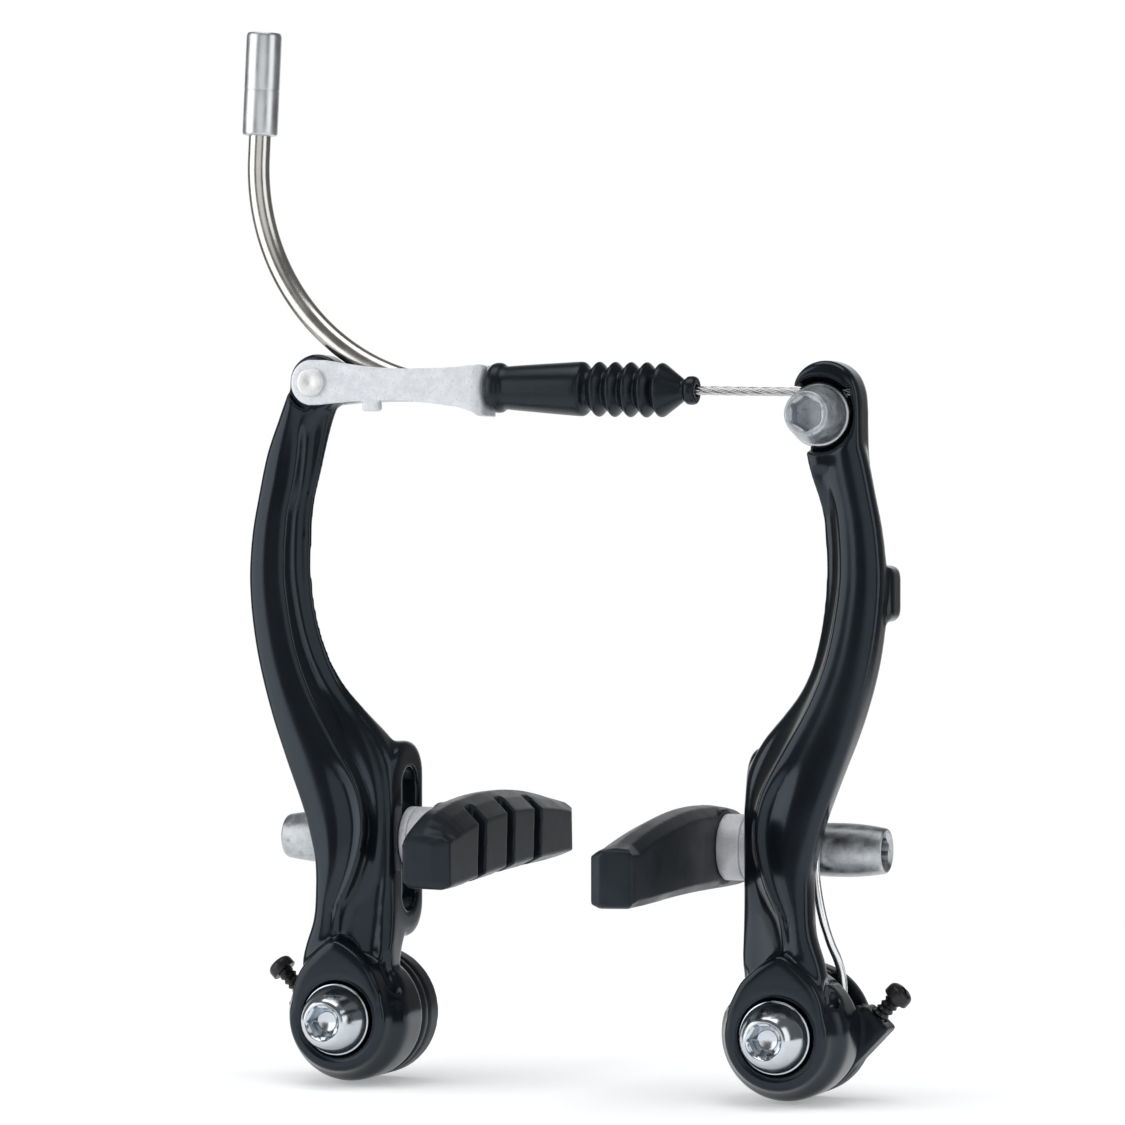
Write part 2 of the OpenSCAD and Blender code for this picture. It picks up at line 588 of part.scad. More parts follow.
// Outline of one side plate of the holder, from the rivet towards the end wall, seen from the front
module holder_outline() {
    span = rivet_x - holder_end_x;
    difference() {
        union() {
            circle(4);
            polygon([[-0.6, -3.95], [1.6, -3.9], [4.8, -3.6], [9, -3.35], [span - 15.8, -3.35],
                [span - 9.8, -3.8], [span - 4.3, -4.6], [span - 1, -6.1], [span, -6.2], [span, 2.6],
                [span - 1, 2.8], [span - 5.8, 2.3], [span - 12.8, 2.2], [12, 2.5],
                [6.5, 3.2], [2.5, 3.85], [0.4, 4]]);
        }
        circle(rivet_r);
    }
}

module noodle_holder() {
    y_mid = cable_depth;
    color("#cfd3d8") from_front() difference() {
        union() {
            translate([-rivet_x, 0, rivet_z]) slab_y(holder_front, holder_front + sheet_t) holder_outline();
            translate([-rivet_x, 0, rivet_z]) slab_y(holder_back - sheet_t, holder_back) holder_outline();
            // End wall
            translate([0, y_mid, rivet_z - 2]) slab_x(-holder_end_x - sheet_t, -holder_end_x)
                round_plate(holder_back - holder_front, 9.8, 1.4);
            // Small tab under the front plate
            translate([-rivet_x + 9.6, holder_front, rivet_z - 4.7]) cube([2.8, 2.4, 1.5]);
        }
        // Keyhole for the noodle's tip
        on_cable_line() rod_x(tip_r + shaft_gap, -holder_end_x - 4, -holder_end_x + 1);
        on_cable_line() translate([-holder_end_x - 2, -1.1, 0]) cube([3, 2.2, 8]);
    }
}

module holder_rivet() {
    color("#dde0e3") from_front() translate([-rivet_x, 0, rivet_z]) {
        rod_y(rivet_r, holder_front - 0.2, holder_back + 0.2);
        for (end = [0, 1]) translate([0, end == 0 ? holder_front : holder_back, 0]) mirror([0, 1 - end, 0])
            turned_y() polygon([[0, 0], [2.45, 0], [2.45, 0.35], [2.1, 0.75], [1.2, 0.95], [0, 1]]);
    }
}

// Round bar that follows the noodle: tip, bend and upper straight
module noodle_bar(r, tip_to, rise) {
    turn = 90 + noodle_lean - cable_slope;
    rod_x(r, -noodle_bend_x, tip_to);
    translate([-noodle_bend_x, 0, noodle_bend_r]) rotate([-90, 0, 0])
        rotate_extrude(start = 90, angle = turn) translate([noodle_bend_r, 0]) circle(r);
    at_noodle_top() cylinder(r = r, h = rise);
}

// Frame at the top of the bend, with Z along the noodle's upper end
module at_noodle_top() {
    turn = 90 + noodle_lean - cable_slope;
    translate([-noodle_bend_x - noodle_bend_r * sin(turn), 0, noodle_bend_r * (1 - cos(turn))])
        rotate([0, noodle_lean - cable_slope, 0]) children();
}

module noodle_tube() {
    color("#b4b2ae") at_cable() difference() {
        union() {
            noodle_bar(noodle_r, tip_end, noodle_rise + ferrule_grip);
            // Formed tip that seats in the holder
            translate([-holder_end_x - 3.2, 0, 0]) turned_x()
                polygon([[0, 0], [noodle_r, 0], [tip_r, 0.9], [tip_r, 5.2],
                    [noodle_r - 0.4, 6.6], [0, 6.6]]);
        }
        noodle_bar(noodle_bore_r, tip_end + 1, noodle_rise + ferrule_grip + 1);
    }
}

module noodle_liner() {
    color("#efece2") at_cable() difference() {
        noodle_bar(noodle_bore_r, tip_end, noodle_rise + ferrule_grip);
        noodle_bar(cable_r + 0.1, tip_end + 1, noodle_rise + ferrule_grip + 1);
    }
}

module noodle_ferrule() {
    color("#c2c5c9") at_cable() at_noodle_top() translate([0, 0, noodle_rise]) difference() {
        rotate_extrude() polygon([[0, 0], [ferrule_r - 0.35, 0], [ferrule_r, 0.35],
            [ferrule_r, ferrule_length - 0.6], [ferrule_r - 0.12, ferrule_length - 0.1],
            [ferrule_r - 0.25, ferrule_length], [0, ferrule_length]]);
        translate([0, 0, -1]) cylinder(r = noodle_r, h = ferrule_grip + 1);
        cylinder(r = cable_r + 0.3, h = ferrule_length);
        translate([0, 0, ferrule_length - socket_depth]) cylinder(r = socket_r, h = socket_depth + 1);
    }
}

// Bellows of the boot: alternating necks and ridges
function boot_profile() = concat(
    [[0, 0], [boot_r - 0.75, 0], [boot_r - 0.4, 0.4], [boot_r - 0.4, 1.2], [boot_r - 0.9, 1.6],
        [boot_r - 1.1, 2.1], [boot_r - 0.9, 2.8], [boot_r - 0.55, 4], [boot_r - 0.15, 8.5],
        [boot_r, 14], [boot_r, 16.3], [boot_r - 0.3, 16.7]],
    [for (k = [0 : 4]) let (z = 17.6 + 2.75 * k)
        each [[boot_r - 1.1, z], [boot_r + 0.05, z + 1.05],
            [boot_r + 0.15, z + 1.38], [boot_r + 0.05, z + 1.7]]],
    [[boot_r - 0.1, 30.6], [2.2, boot_length - 3.0], [1.9, boot_length - 2.4], [2.1, boot_length - 2.1],
        [2.45, boot_length - 1.6], [2.45, boot_length - 0.6], [2.2, boot_length], [0, boot_length]]
);

module cable_boot() {
    color("#1c1d1f") at_cable() translate([boot_from, 0, 0]) difference() {
        turned_x() polygon(boot_profile());
        rod_x(tip_r, -1, 3.6);
        rod_x(noodle_r + 0.6, 3.5, 16);
        rod_x(cable_r + 0.35, 10, boot_length + 1);
    }
}

module brake_cable() {
    color("#b9bbbd") at_cable() noodle_bar(cable_r, groove_end - 0.6, noodle_rise + ferrule_grip + 0.6);
}

module anchor_bolt() {
    head_from = seat_depth - anchor_washer_t - anchor_head_t;
    shank_end = anchor_head_t + anchor_washer_t + 5;
    color("#a3a8ad") from_front() translate([anchor_x, 0, anchor_z]) difference() {
        translate([0, head_from, 0]) turned_y()
            polygon([[0, 0], [3.5, 0], [3.8, 0.3], [anchor_head_r - 0.35, anchor_head_t * 0.5],
                [anchor_head_r, anchor_head_t * 0.78], [anchor_head_r, anchor_head_t],
                [bolt_r, anchor_head_t], [bolt_r, shank_end - 0.6], [bolt_r - 0.6, shank_end],
                [0, shank_end]]);
        translate([0, head_from - 1, 0]) rotate([-90, 30, 0])
            cylinder(r = bolt_hex / 2 / cos(30), h = 4.2, $fn = 6);
    }
}

module anchor_washer() {
    color("#b3b7bb") from_front() translate([anchor_x, 0, anchor_z]) difference() {
        translate([0, seat_depth - anchor_washer_t, 0]) turned_y()
            polygon([[0, 0], [anchor_washer_r - 0.3, 0], [anchor_washer_r, 0.3],
                [anchor_washer_r, anchor_washer_t], [0, anchor_washer_t]]);
        rod_y(bolt_r + 0.15, -10, 10);
    }
}

left_arm();
right_arm();
mirrored() pivot_bush_shape();  // left_pivot_bush
pivot_bush_shape();  // right_pivot_bush
mirrored() mounting_bolt_shape();  // left_mounting_bolt
mounting_bolt_shape();  // right_mounting_bolt
mirrored() spring_retainer_shape();  // left_spring_retainer
spring_retainer_shape();  // right_spring_retainer
mirrored() return_spring_shape();  // left_return_spring
return_spring_shape();  // right_return_spring
mirrored() tension_screw_shape(left_screw_out);  // left_tension_screw
tension_screw_shape(right_screw_out);  // right_tension_screw
color("#1d1e20") left_pad_place() pad_block();  // left_brake_pad
color("#1d1e20") right_pad_place() pad_block();  // right_brake_pad
color("#b5b8bc") left_pad_place() stud_shape();  // left_pad_stud
color("#b5b8bc") right_pad_place() stud_shape();  // right_pad_stud
mirrored() inner_cup_washer_shape();  // left_inner_cup_washer
inner_cup_washer_shape();  // right_inner_cup_washer
mirrored() inner_dome_spacer_shape();  // left_inner_dome_spacer
inner_dome_spacer_shape();  // right_inner_dome_spacer
mirrored() outer_cup_washer_shape();  // left_outer_cup_washer
outer_cup_washer_shape();  // right_outer_cup_washer
mirrored() outer_dome_washer_shape();  // left_outer_dome_washer
outer_dome_washer_shape();  // right_outer_dome_washer
mirrored() barrel_nut_shape();  // left_barrel_nut
barrel_nut_shape();  // right_barrel_nut
noodle_holder();
holder_rivet();
noodle_tube();
noodle_ferrule();
noodle_liner();
cable_boot();
brake_cable();
anchor_bolt();
anchor_washer();
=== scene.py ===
# %% [markdown]
# # A linear-pull rim brake
# Two cast arms turn on bosses of the fork. A cable pulls their tops together, and the pads
# press on the rim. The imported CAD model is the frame: it fixes where every piece lies. This
# lesson gives each piece the rounded edges, the small forms and the finish of the real one.
# All sizes are in millimetres until a mesh is made, because drawings of brakes use them.

import math

import bmesh
import bpy
import mathutils
import numpy as np
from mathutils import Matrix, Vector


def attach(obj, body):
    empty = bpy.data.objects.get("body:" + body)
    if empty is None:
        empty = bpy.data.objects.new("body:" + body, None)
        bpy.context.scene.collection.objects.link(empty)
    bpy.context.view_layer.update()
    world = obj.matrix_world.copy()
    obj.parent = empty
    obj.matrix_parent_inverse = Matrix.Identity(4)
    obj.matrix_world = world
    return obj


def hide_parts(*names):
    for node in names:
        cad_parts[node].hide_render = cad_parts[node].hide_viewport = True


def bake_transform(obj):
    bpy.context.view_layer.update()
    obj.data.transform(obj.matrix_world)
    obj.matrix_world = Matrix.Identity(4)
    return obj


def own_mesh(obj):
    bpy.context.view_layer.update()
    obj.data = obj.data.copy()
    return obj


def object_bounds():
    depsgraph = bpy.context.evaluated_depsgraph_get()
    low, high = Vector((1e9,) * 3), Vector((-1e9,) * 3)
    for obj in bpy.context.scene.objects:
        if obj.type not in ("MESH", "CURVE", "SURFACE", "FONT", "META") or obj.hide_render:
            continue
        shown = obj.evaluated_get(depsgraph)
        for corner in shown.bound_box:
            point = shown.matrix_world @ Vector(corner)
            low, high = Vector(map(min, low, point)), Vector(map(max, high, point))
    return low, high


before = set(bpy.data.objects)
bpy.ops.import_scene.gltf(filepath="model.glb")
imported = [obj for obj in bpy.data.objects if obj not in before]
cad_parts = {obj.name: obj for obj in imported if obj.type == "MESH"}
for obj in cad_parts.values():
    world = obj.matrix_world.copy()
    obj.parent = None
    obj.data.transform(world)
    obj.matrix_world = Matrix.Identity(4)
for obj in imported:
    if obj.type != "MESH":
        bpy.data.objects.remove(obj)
cad_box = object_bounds()
MM = 0.001
print("CAD box in mm:", [[round(c / MM, 1) for c in corner] for corner in cad_box])

# %% [markdown]
# ## Places
# Depth is measured backwards from the front faces of the pivot housings, as a mechanic would
# with a calliper. The seats on the fork lie 19.6 mm behind them, and that plane is Y = 0.
# The right half is made, and a mirrored copy of the same points gives the left half.

# %% Sizes that several pieces share
STACK = 19.6  # from a housing's front to its seat on the fork
PIVOT_X = 40.0  # each pivot from the middle
PLATE_X = 32.0  # inner face of the slotted plate
STUD_Z, STUD_DEPTH = 30.6, 14.3  # the pad's stud
PAD_BACK_X = 26.5  # back of the pad
CABLE_Z, CABLE_DEPTH = 108.8, 6.1  # the cable, midway between the arms
CABLE_SLOPE = math.radians(1.4)  # its fall towards the anchor
CABLE_R = 0.75
RIVET_X, RIVET_Z = 45.4, 110.3  # the link's rivet on the left arm
ANCHOR_X, ANCHOR_Z = 46.6, 103.861  # the cable's anchor on the right arm
SIDES = (("right", 1), ("left", -1))  # and the sign that X takes there


def unit(v):
    """A vector, or each of several, divided by its own length."""
    v = np.asarray(v, float)
    return v / np.linalg.norm(v, axis=-1, keepdims=True)


class Place:
    """An origin and three directions at right angles. A point (a, b, c) of a piece lies at
    the origin plus a, b and c times the directions."""

    def __init__(self, origin, along, side, third=None):
        self.origin = np.asarray(origin, float)
        self.a = unit(along)
        self.b = unit(np.asarray(side, float) - self.a * np.dot(side, self.a))
        self.c = np.cross(self.a, self.b) if third is None else unit(third)

    def put(self, points):
        points = np.asarray(points, float)
        return (
            self.origin
            + points[..., 0:1] * self.a
            + points[..., 1:2] * self.b
            + points[..., 2:3] * self.c
        )


def depth_place(x, z, sign=1):
    """A place whose first direction points to the back, starting at the housings' fronts."""
    return Place([sign * x, -STACK, z], [0, 1, 0], [sign, 0, 0], [0, 0, 1])


def stud_place(x, sign):
    """A place whose first direction points outwards along the pad's stud."""
    return Place([sign * x, STUD_DEPTH - STACK, STUD_Z], [sign, 0, 0], [0, 0, 1])


cable_line = Place(
    [0, CABLE_DEPTH - STACK, CABLE_Z],
    [math.cos(CABLE_SLOPE), 0, -math.sin(CABLE_SLOPE)],
    [math.sin(CABLE_SLOPE), 0, math.cos(CABLE_SLOPE)],
)
print("over the anchor the cable is at", cable_line.put([[ANCHOR_X, 0, 0]]).round(2).tolist())

# %% [markdown]
# ## The camera
# The camera stands a little to the right of the brake and almost level with it. Its place
# comes from fitting the pivots, the anchor bolt and the ferrule to the photograph, so the
# perspective is the photograph's as well.

# %% Camera
view_turn, view_rise = math.radians(21.234), math.radians(0.399)
view_roll = math.radians(-0.012)
right_0 = np.array([math.cos(view_turn), math.sin(view_turn), 0])
back = np.array(
    [
        math.sin(view_turn) * math.cos(view_rise),
        -math.cos(view_turn) * math.cos(view_rise),
        math.sin(view_rise),
    ]
)
up_0 = np.cross(back, right_0)
right = math.cos(view_roll) * right_0 + math.sin(view_roll) * up_0
up = np.cross(back, right)
# How far the eye lies to the right of the origin, above it and in front of it
ACROSS, ABOVE, AWAY = 1.993, 79.141, 775.636
eye = right * ACROSS + up * ABOVE + back * AWAY + np.array([0, -STACK, 0])

camera_data = bpy.data.cameras.new("camera")
camera_data.sensor_width = 36
# The lens that shows an object at 4567.866 pixels of a 1125 pixel frame, per unit of distance
camera_data.lens = 4567.866 / 1125 * camera_data.sensor_width
camera_data.clip_start = 0.05
camera_data.clip_end = 20
camera = bpy.data.objects.new("camera", camera_data)
bpy.context.scene.collection.objects.link(camera)
rotation = np.eye(4)
rotation[:3, :3] = np.stack([right, up, back], 1)
rotation[:3, 3] = eye * MM
camera.matrix_world = mathutils.Matrix(rotation.tolist())
bpy.context.scene.camera = camera
print("camera at", eye.round(1).tolist(), "lens", round(camera_data.lens, 1))

# %% [markdown]
# ## From points to meshes
# Almost every piece is a grid of points: one direction runs along the piece, the other
# round it. Whole grids are worked out at once with numpy, and joined into faces by their
# place in the grid. Ends are closed with a fan to a middle point, so a piece has no holes.


# %% Mesh helpers
def grid_faces(m, n):
    """Four-sided faces of a grid of m rings with n points each, closed round the ring."""
    i = (np.arange(m - 1) * n)[:, None]
    j = np.arange(n)[None, :]
    k = (j + 1) % n
    return np.stack([i + j, i + k, i + n + k, i + n + j], -1).reshape(-1, 4)


def skin(rings):
    """Points and faces of a closed tube through rings, an array of m x n x 3. Each end is
    a fan of triangles to the mean of its ring."""
    m, n = rings.shape[:2]
    points = np.vstack([rings.reshape(-1, 3), rings[0].mean(0), rings[-1].mean(0)])
    j = np.arange(n)
    k = (j + 1) % n
    first = np.stack([k, j, np.full(n, m * n)], -1)
    last = np.stack([(m - 1) * n + j, (m - 1) * n + k, np.full(n, m * n + 1)], -1)
    return points, grid_faces(m, n).tolist() + first.tolist() + last.tolist()


def mesh_object(name, points, faces):
    """A mesh object in metres from points in millimetres, with merged doubles and normals
    that face outwards."""
    mesh = bpy.data.meshes.new(name)
    mesh.from_pydata((np.asarray(points) * MM).tolist(), [], faces)
    work = bmesh.new()
    work.from_mesh(mesh)
    bmesh.ops.remove_doubles(work, verts=work.verts, dist=1e-7)
    bmesh.ops.recalc_face_normals(work, faces=work.faces)
    work.to_mesh(mesh)
    work.free()
    obj = bpy.data.objects.new(name, mesh)
    bpy.context.scene.collection.objects.link(obj)
    return obj


def settle(obj):
    """Applies the object's modifiers, so that its mesh is what they made."""
    graph = bpy.context.evaluated_depsgraph_get()
    made = bpy.data.meshes.new_from_object(obj.evaluated_get(graph), depsgraph=graph)
    obj.modifiers.clear()
    old = obj.data
    obj.data = made
    bpy.data.meshes.remove(old)
    return obj


def cut(obj, *tools):
    """Takes the tools' solids away from obj and removes the tools."""
    for tool in tools:
        step = obj.modifiers.new("cut", "BOOLEAN")
        step.operation = "DIFFERENCE"
        step.solver = "EXACT"
        step.object = tool
    settle(obj)
    for tool in tools:
        bpy.data.objects.remove(tool)
    return obj


def cast(name, parts, voxel, rounds, amount=0.5, calm=None, tools=()):
    """One skin over overlapping solids, as casting gives: the parts are joined and rebuilt
    in cubes of the voxel's size, and the tools are cut out. Each point then moves several
    times part of the way to the mean of its neighbours, which rounds the edges and fills
    the inner corners. calm gives each point's share of that movement from its place."""
    points, faces, start = [], [], 0
    for part in parts:
        co = np.zeros(len(part.data.vertices) * 3, np.float32)
        part.data.vertices.foreach_get("co", co)
        points.append(co.reshape(-1, 3).astype(float) / MM)
        faces += [[start + v for v in p.vertices] for p in part.data.polygons]
        start += len(part.data.vertices)
        bpy.data.objects.remove(part)
    mesh = bpy.data.meshes.new(name)
    mesh.from_pydata((np.vstack(points) * MM).tolist(), [], faces)
    obj = bpy.data.objects.new(name, mesh)
    bpy.context.scene.collection.objects.link(obj)
    # The second skin, after the cuts, makes the cubes of cut and uncut faces alike
    for pass_no in range(2 if tools else 1):
        step = obj.modifiers.new("skin", "REMESH")
        step.mode = "VOXEL"
        step.voxel_size = voxel * MM
        settle(obj)
        if pass_no == 0 and tools:
            cut(obj, *tools)
    soften(obj, rounds, amount, calm)
    obj.data.shade_smooth()
    return obj


def soften(obj, rounds, amount=0.5, calm=None):
    """Moves every point part of the way to the mean of its neighbours, several times."""
    mesh = obj.data
    count = len(mesh.vertices)
    at = np.zeros(count * 3, np.float32)
    mesh.vertices.foreach_get("co", at)
    at = at.reshape(-1, 3).astype(float)
    ends = np.zeros(len(mesh.edges) * 2, np.int32)
    mesh.edges.foreach_get("vertices", ends)
    a, b = ends.reshape(-1, 2).T
    here, there = np.r_[a, b], np.r_[b, a]
    near = np.maximum(np.bincount(here, minlength=count), 1)[:, None]
    share = amount * (np.ones((count, 1)) if calm is None else calm(at / MM)[:, None])
    for _ in range(rounds):
        total = np.stack(
            [np.bincount(here, at[there, c], minlength=count) for c in range(3)], 1
        )
        at += share * (total / near - at)
    mesh.vertices.foreach_set("co", at.astype(np.float32).ravel())
    mesh.update()


def fit_out(obj, material, body, *nodes, slot=None):
    """Gives a piece its material and body, and hides the CAD nodes that it stands for.
    A piece that bends between two bodies gets no body here."""
    obj.data.materials.clear()
    obj.data.materials.append(material)
    if body:
        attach(obj, body)
    if nodes:
        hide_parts(*nodes)
    mesh = obj.data
    mesh.calc_loop_triangles()
    print(obj.name, len(mesh.loop_triangles), "triangles")
    return obj


# %% [markdown]
# ## Turned pieces
# Bolts, washers, nuts and the rubber boot are turned shapes. A profile lists radius and
# distance along the axis. Its corners are first replaced by short curves, since a real edge
# is never sharp and the small radius is what catches the light. A hexagon socket is part of
# the same grid: there each ring is a hexagon instead of a circle.


# %% Profiles and turned shapes
def rounded(corners, reach, steps=5, closed=False):
    """A path whose corners are curves. reach is how far each curve starts from its corner,
    at most 0.45 of the way to the next one. The curve is the parabola that leaves one side
    and arrives on the other: (1-t)^2 P0 + 2t(1-t) P1 + t^2 P2."""
    p = np.asarray(corners, float)
    reach = np.broadcast_to(np.asarray(reach, float), p.shape[:-1])
    before, after = np.roll(p, 1, -2), np.roll(p, -1, -2)
    gap_b = np.linalg.norm(before - p, axis=-1)
    gap_a = np.linalg.norm(after - p, axis=-1)
    safe_b, safe_a = np.maximum(gap_b, 1e-9), np.maximum(gap_a, 1e-9)
    start = p + (before - p) * (np.minimum(reach, 0.45 * gap_b) / safe_b)[..., None]
    end = p + (after - p) * (np.minimum(reach, 0.45 * gap_a) / safe_a)[..., None]
    t = np.linspace(0, 1, steps)[:, None]
    curve = (
        (1 - t) ** 2 * start[..., None, :]
        + 2 * t * (1 - t) * p[..., None, :]
        + t**2 * end[..., None, :]
    )
    if not closed:
        curve[..., 0, :, :] = p[..., 0, None, :]
        curve[..., -1, :, :] = p[..., -1, None, :]
    shape = curve.shape[:-3] + (curve.shape[-3] * steps, p.shape[-1])
    return curve.reshape(shape)


def bowed(points, steps=8):
    """A smooth curve through points: each stretch is a cubic whose slope at a point is
    half the way from the point before to the one after."""
    p = np.asarray(points, float)
    q = np.vstack([2 * p[0] - p[1], p, 2 * p[-1] - p[-2]])
    slope = (q[2:] - q[:-2]) / 2
    t = np.linspace(0, 1, steps, endpoint=False)[None, :, None]
    a, b = p[:-1, None], p[1:, None]
    sa, sb = slope[:-1, None], slope[1:, None]
    curve = (
        (2 * t**3 - 3 * t**2 + 1) * a
        + (t**3 - 2 * t**2 + t) * sa
        + (3 * t**2 - 2 * t**3) * b
        + (t**3 - t**2) * sb
    )
    return np.vstack([curve.reshape(-1, p.shape[1]), p[-1:]])


def hexagon(angle, across):
    """Radius of a hexagon at each angle: half the width across its flats, divided by the
    cosine of the angle to the nearest flat's middle."""
    sixth = math.pi / 3
    return across / 2 / np.cos((angle + sixth / 2) % sixth - sixth / 2)


def turn(name, profile, place, sides=96, hexes=None, phase=0.0, thread=None, hollow=False):
    """The surface that a profile of (radius, distance) makes as it turns about the place's
    first direction. hexes maps a profile row to its share of roundness lost and the width of
    the hexagon it follows. thread is (from, to, pitch, depth): there the radius loses a
    triangle wave of distance / pitch - angle / 360 degrees, which is a helix. A hollow
    profile is a closed loop of rows, so the piece has a bore and no caps."""
    profile = np.asarray(profile, float)
    angle = np.linspace(0, 2 * math.pi, sides, endpoint=False) + phase
    radius = np.repeat(profile[:, :1], sides, 1)
    for row, (share, across) in (hexes or {}).items():
        radius[row] = (1 - share) * radius[row] + share * hexagon(angle - phase, across)
    if thread:
        low, high, pitch, deep = thread
        wave = np.abs(((profile[:, 1:2] / pitch - angle / (2 * math.pi)) % 1) * 2 - 1)
        z = profile[:, 1:2]
        inside = fade(z, low, low + pitch) * (1 - fade(z, high - pitch, high))
        radius = radius - deep * wave * inside * (profile[:, :1] > 0.1)
    rings = np.stack(
        [
            np.repeat(profile[:, 1:2], sides, 1),
            radius * np.cos(angle),
            radius * np.sin(angle),
        ],
        -1,
    )
    if hollow:
        m, n = rings.shape[:2]
        faces = grid_faces(m + 1, n) % (m * n)
        return mesh_object(name, place.put(rings).reshape(-1, 3), faces.tolist())
    points, faces = skin(place.put(rings))
    return mesh_object(name, points, faces)


def fade(z, low, high):
    """0 below low, 1 above high, and a smooth S between."""
    t = np.clip((np.asarray(z, float) - low) / (high - low), 0, 1)
    return t * t * (3 - 2 * t)


def threaded(radius, low, high, pitch):
    """Profile rows for a threaded stretch, eight to each turn of the thread."""
    z = np.linspace(low, high, int((high - low) / pitch * 8) + 1)
    return np.column_stack([np.full(len(z), radius), z])


def swept(name, path, radius, sides=24):
    """A round tube along a path. At each point the ring lies across the path's direction;
    the ring's first axis is that direction crossed with Y, which no path here runs along."""
    path = np.asarray(path, float)
    ahead = unit(np.gradient(path, axis=0))
    first = unit(np.cross(ahead, [0, 1, 0]))
    second = np.cross(ahead, first)
    angle = np.linspace(0, 2 * math.pi, sides, endpoint=False)
    radius = np.broadcast_to(np.asarray(radius, float), (len(path),))[:, None, None]
    cos, sin = np.cos(angle)[None, :, None], np.sin(angle)[None, :, None]
    rings = path[:, None] + radius * (cos * first[:, None] + sin * second[:, None])
    return mesh_object(name, *skin(rings))


def crisp(obj, angle=34):
    """Smooth shading, except across edges that turn more than the angle."""
    obj.data.shade_smooth()
    obj.data.set_sharp_from_angle(angle=math.radians(angle))
    return obj


print("a rounded square has", rounded([[0, 0], [1, 0], [1, 1], [0, 1]], 0.2, closed=True).shape)

# %% [markdown]
# ## Finishes
# Each finish is a Principled material. What makes it look real is how the roughness and the
# height change over the surface: slow clouds from handling, and a fine grain from the
# process. Both are noise on the piece's own coordinates, so nothing slides when it moves.


# %% One recipe for all finishes
def finish(
    name,
    colour,
    metal,
    rough,
    rough_spread=0.08,
    cloud=120,
    tint=0.15,
    grain=2500,
    height=0.004,
    coat=0.0,
    coat_rough=0.1,
    stretch=(1, 1, 1),
    specular=0.5,
    speckle=None,
):
    """Colour and roughness drift with a slow noise of `cloud` cycles a metre. A fine noise of
    `grain` cycles a metre, `height` millimetres high, gives the surface its tooth. speckle is
    (cycles a metre, share, colour) for small spots, as cast zinc shows."""
    mat = bpy.data.materials.new(name)
    mat.use_nodes = True
    tree = mat.node_tree
    links = tree.links
    shader = tree.nodes["Principled BSDF"]
    shader.inputs["Metallic"].default_value = metal
    shader.inputs["Specular IOR Level"].default_value = specular
    if coat:
        shader.inputs["Coat Weight"].default_value = coat
        shader.inputs["Coat Roughness"].default_value = coat_rough
    where = tree.nodes.new("ShaderNodeTexCoord")
    turned = tree.nodes.new("ShaderNodeMapping")
    turned.inputs["Scale"].default_value = stretch
    links.new(where.outputs["Object"], turned.inputs["Vector"])

    slow = tree.nodes.new("ShaderNodeTexNoise")
    slow.inputs["Scale"].default_value = cloud
    slow.inputs["Detail"].default_value = 5
    slow.inputs["Roughness"].default_value = 0.6
    links.new(turned.outputs["Vector"], slow.inputs["Vector"])

    ramp = tree.nodes.new("ShaderNodeValToRGB")
    ramp.color_ramp.elements[0].position = 0.3
    ramp.color_ramp.elements[1].position = 0.7
    ramp.color_ramp.elements[0].color = [c * (1 - tint) for c in colour] + [1]
    ramp.color_ramp.elements[1].color = [min(1, c * (1 + tint)) for c in colour] + [1]
    links.new(slow.outputs["Fac"], ramp.inputs["Fac"])
    last_colour = ramp.outputs["Color"]

    spread = tree.nodes.new("ShaderNodeMapRange")
    spread.inputs["From Min"].default_value = 0.3
    spread.inputs["From Max"].default_value = 0.7
    spread.inputs["To Min"].default_value = max(0.02, rough - rough_spread)
    spread.inputs["To Max"].default_value = min(1, rough + rough_spread)
    links.new(slow.outputs["Fac"], spread.inputs["Value"])
    links.new(spread.outputs["Result"], shader.inputs["Roughness"])

    if speckle:
        spots = tree.nodes.new("ShaderNodeTexNoise")
        spots.inputs["Scale"].default_value = speckle[0]
        spots.inputs["Detail"].default_value = 3
        links.new(turned.outputs["Vector"], spots.inputs["Vector"])
        edge = tree.nodes.new("ShaderNodeValToRGB")
        edge.color_ramp.elements[0].position = speckle[1]
        edge.color_ramp.elements[1].position = speckle[1] + 0.12
        links.new(spots.outputs["Fac"], edge.inputs["Fac"])
        mixed = tree.nodes.new("ShaderNodeMix")
        mixed.data_type = "RGBA"
        mixed.inputs["B"].default_value = (*speckle[2], 1)
        links.new(last_colour, mixed.inputs["A"])
        links.new(edge.outputs["Color"], mixed.inputs["Factor"])
        last_colour = mixed.outputs["Result"]
    links.new(last_colour, shader.inputs["Base Color"])

    fine = tree.nodes.new("ShaderNodeTexNoise")
    fine.inputs["Scale"].default_value = grain
    fine.inputs["Detail"].default_value = 3
    links.new(turned.outputs["Vector"], fine.inputs["Vector"])
    bump = tree.nodes.new("ShaderNodeBump")
    bump.inputs["Strength"].default_value = 1.0
    bump.inputs["Distance"].default_value = height * MM
    links.new(fine.outputs["Fac"], bump.inputs["Height"])
    links.new(bump.outputs["Normal"], shader.inputs["Normal"])
    return mat


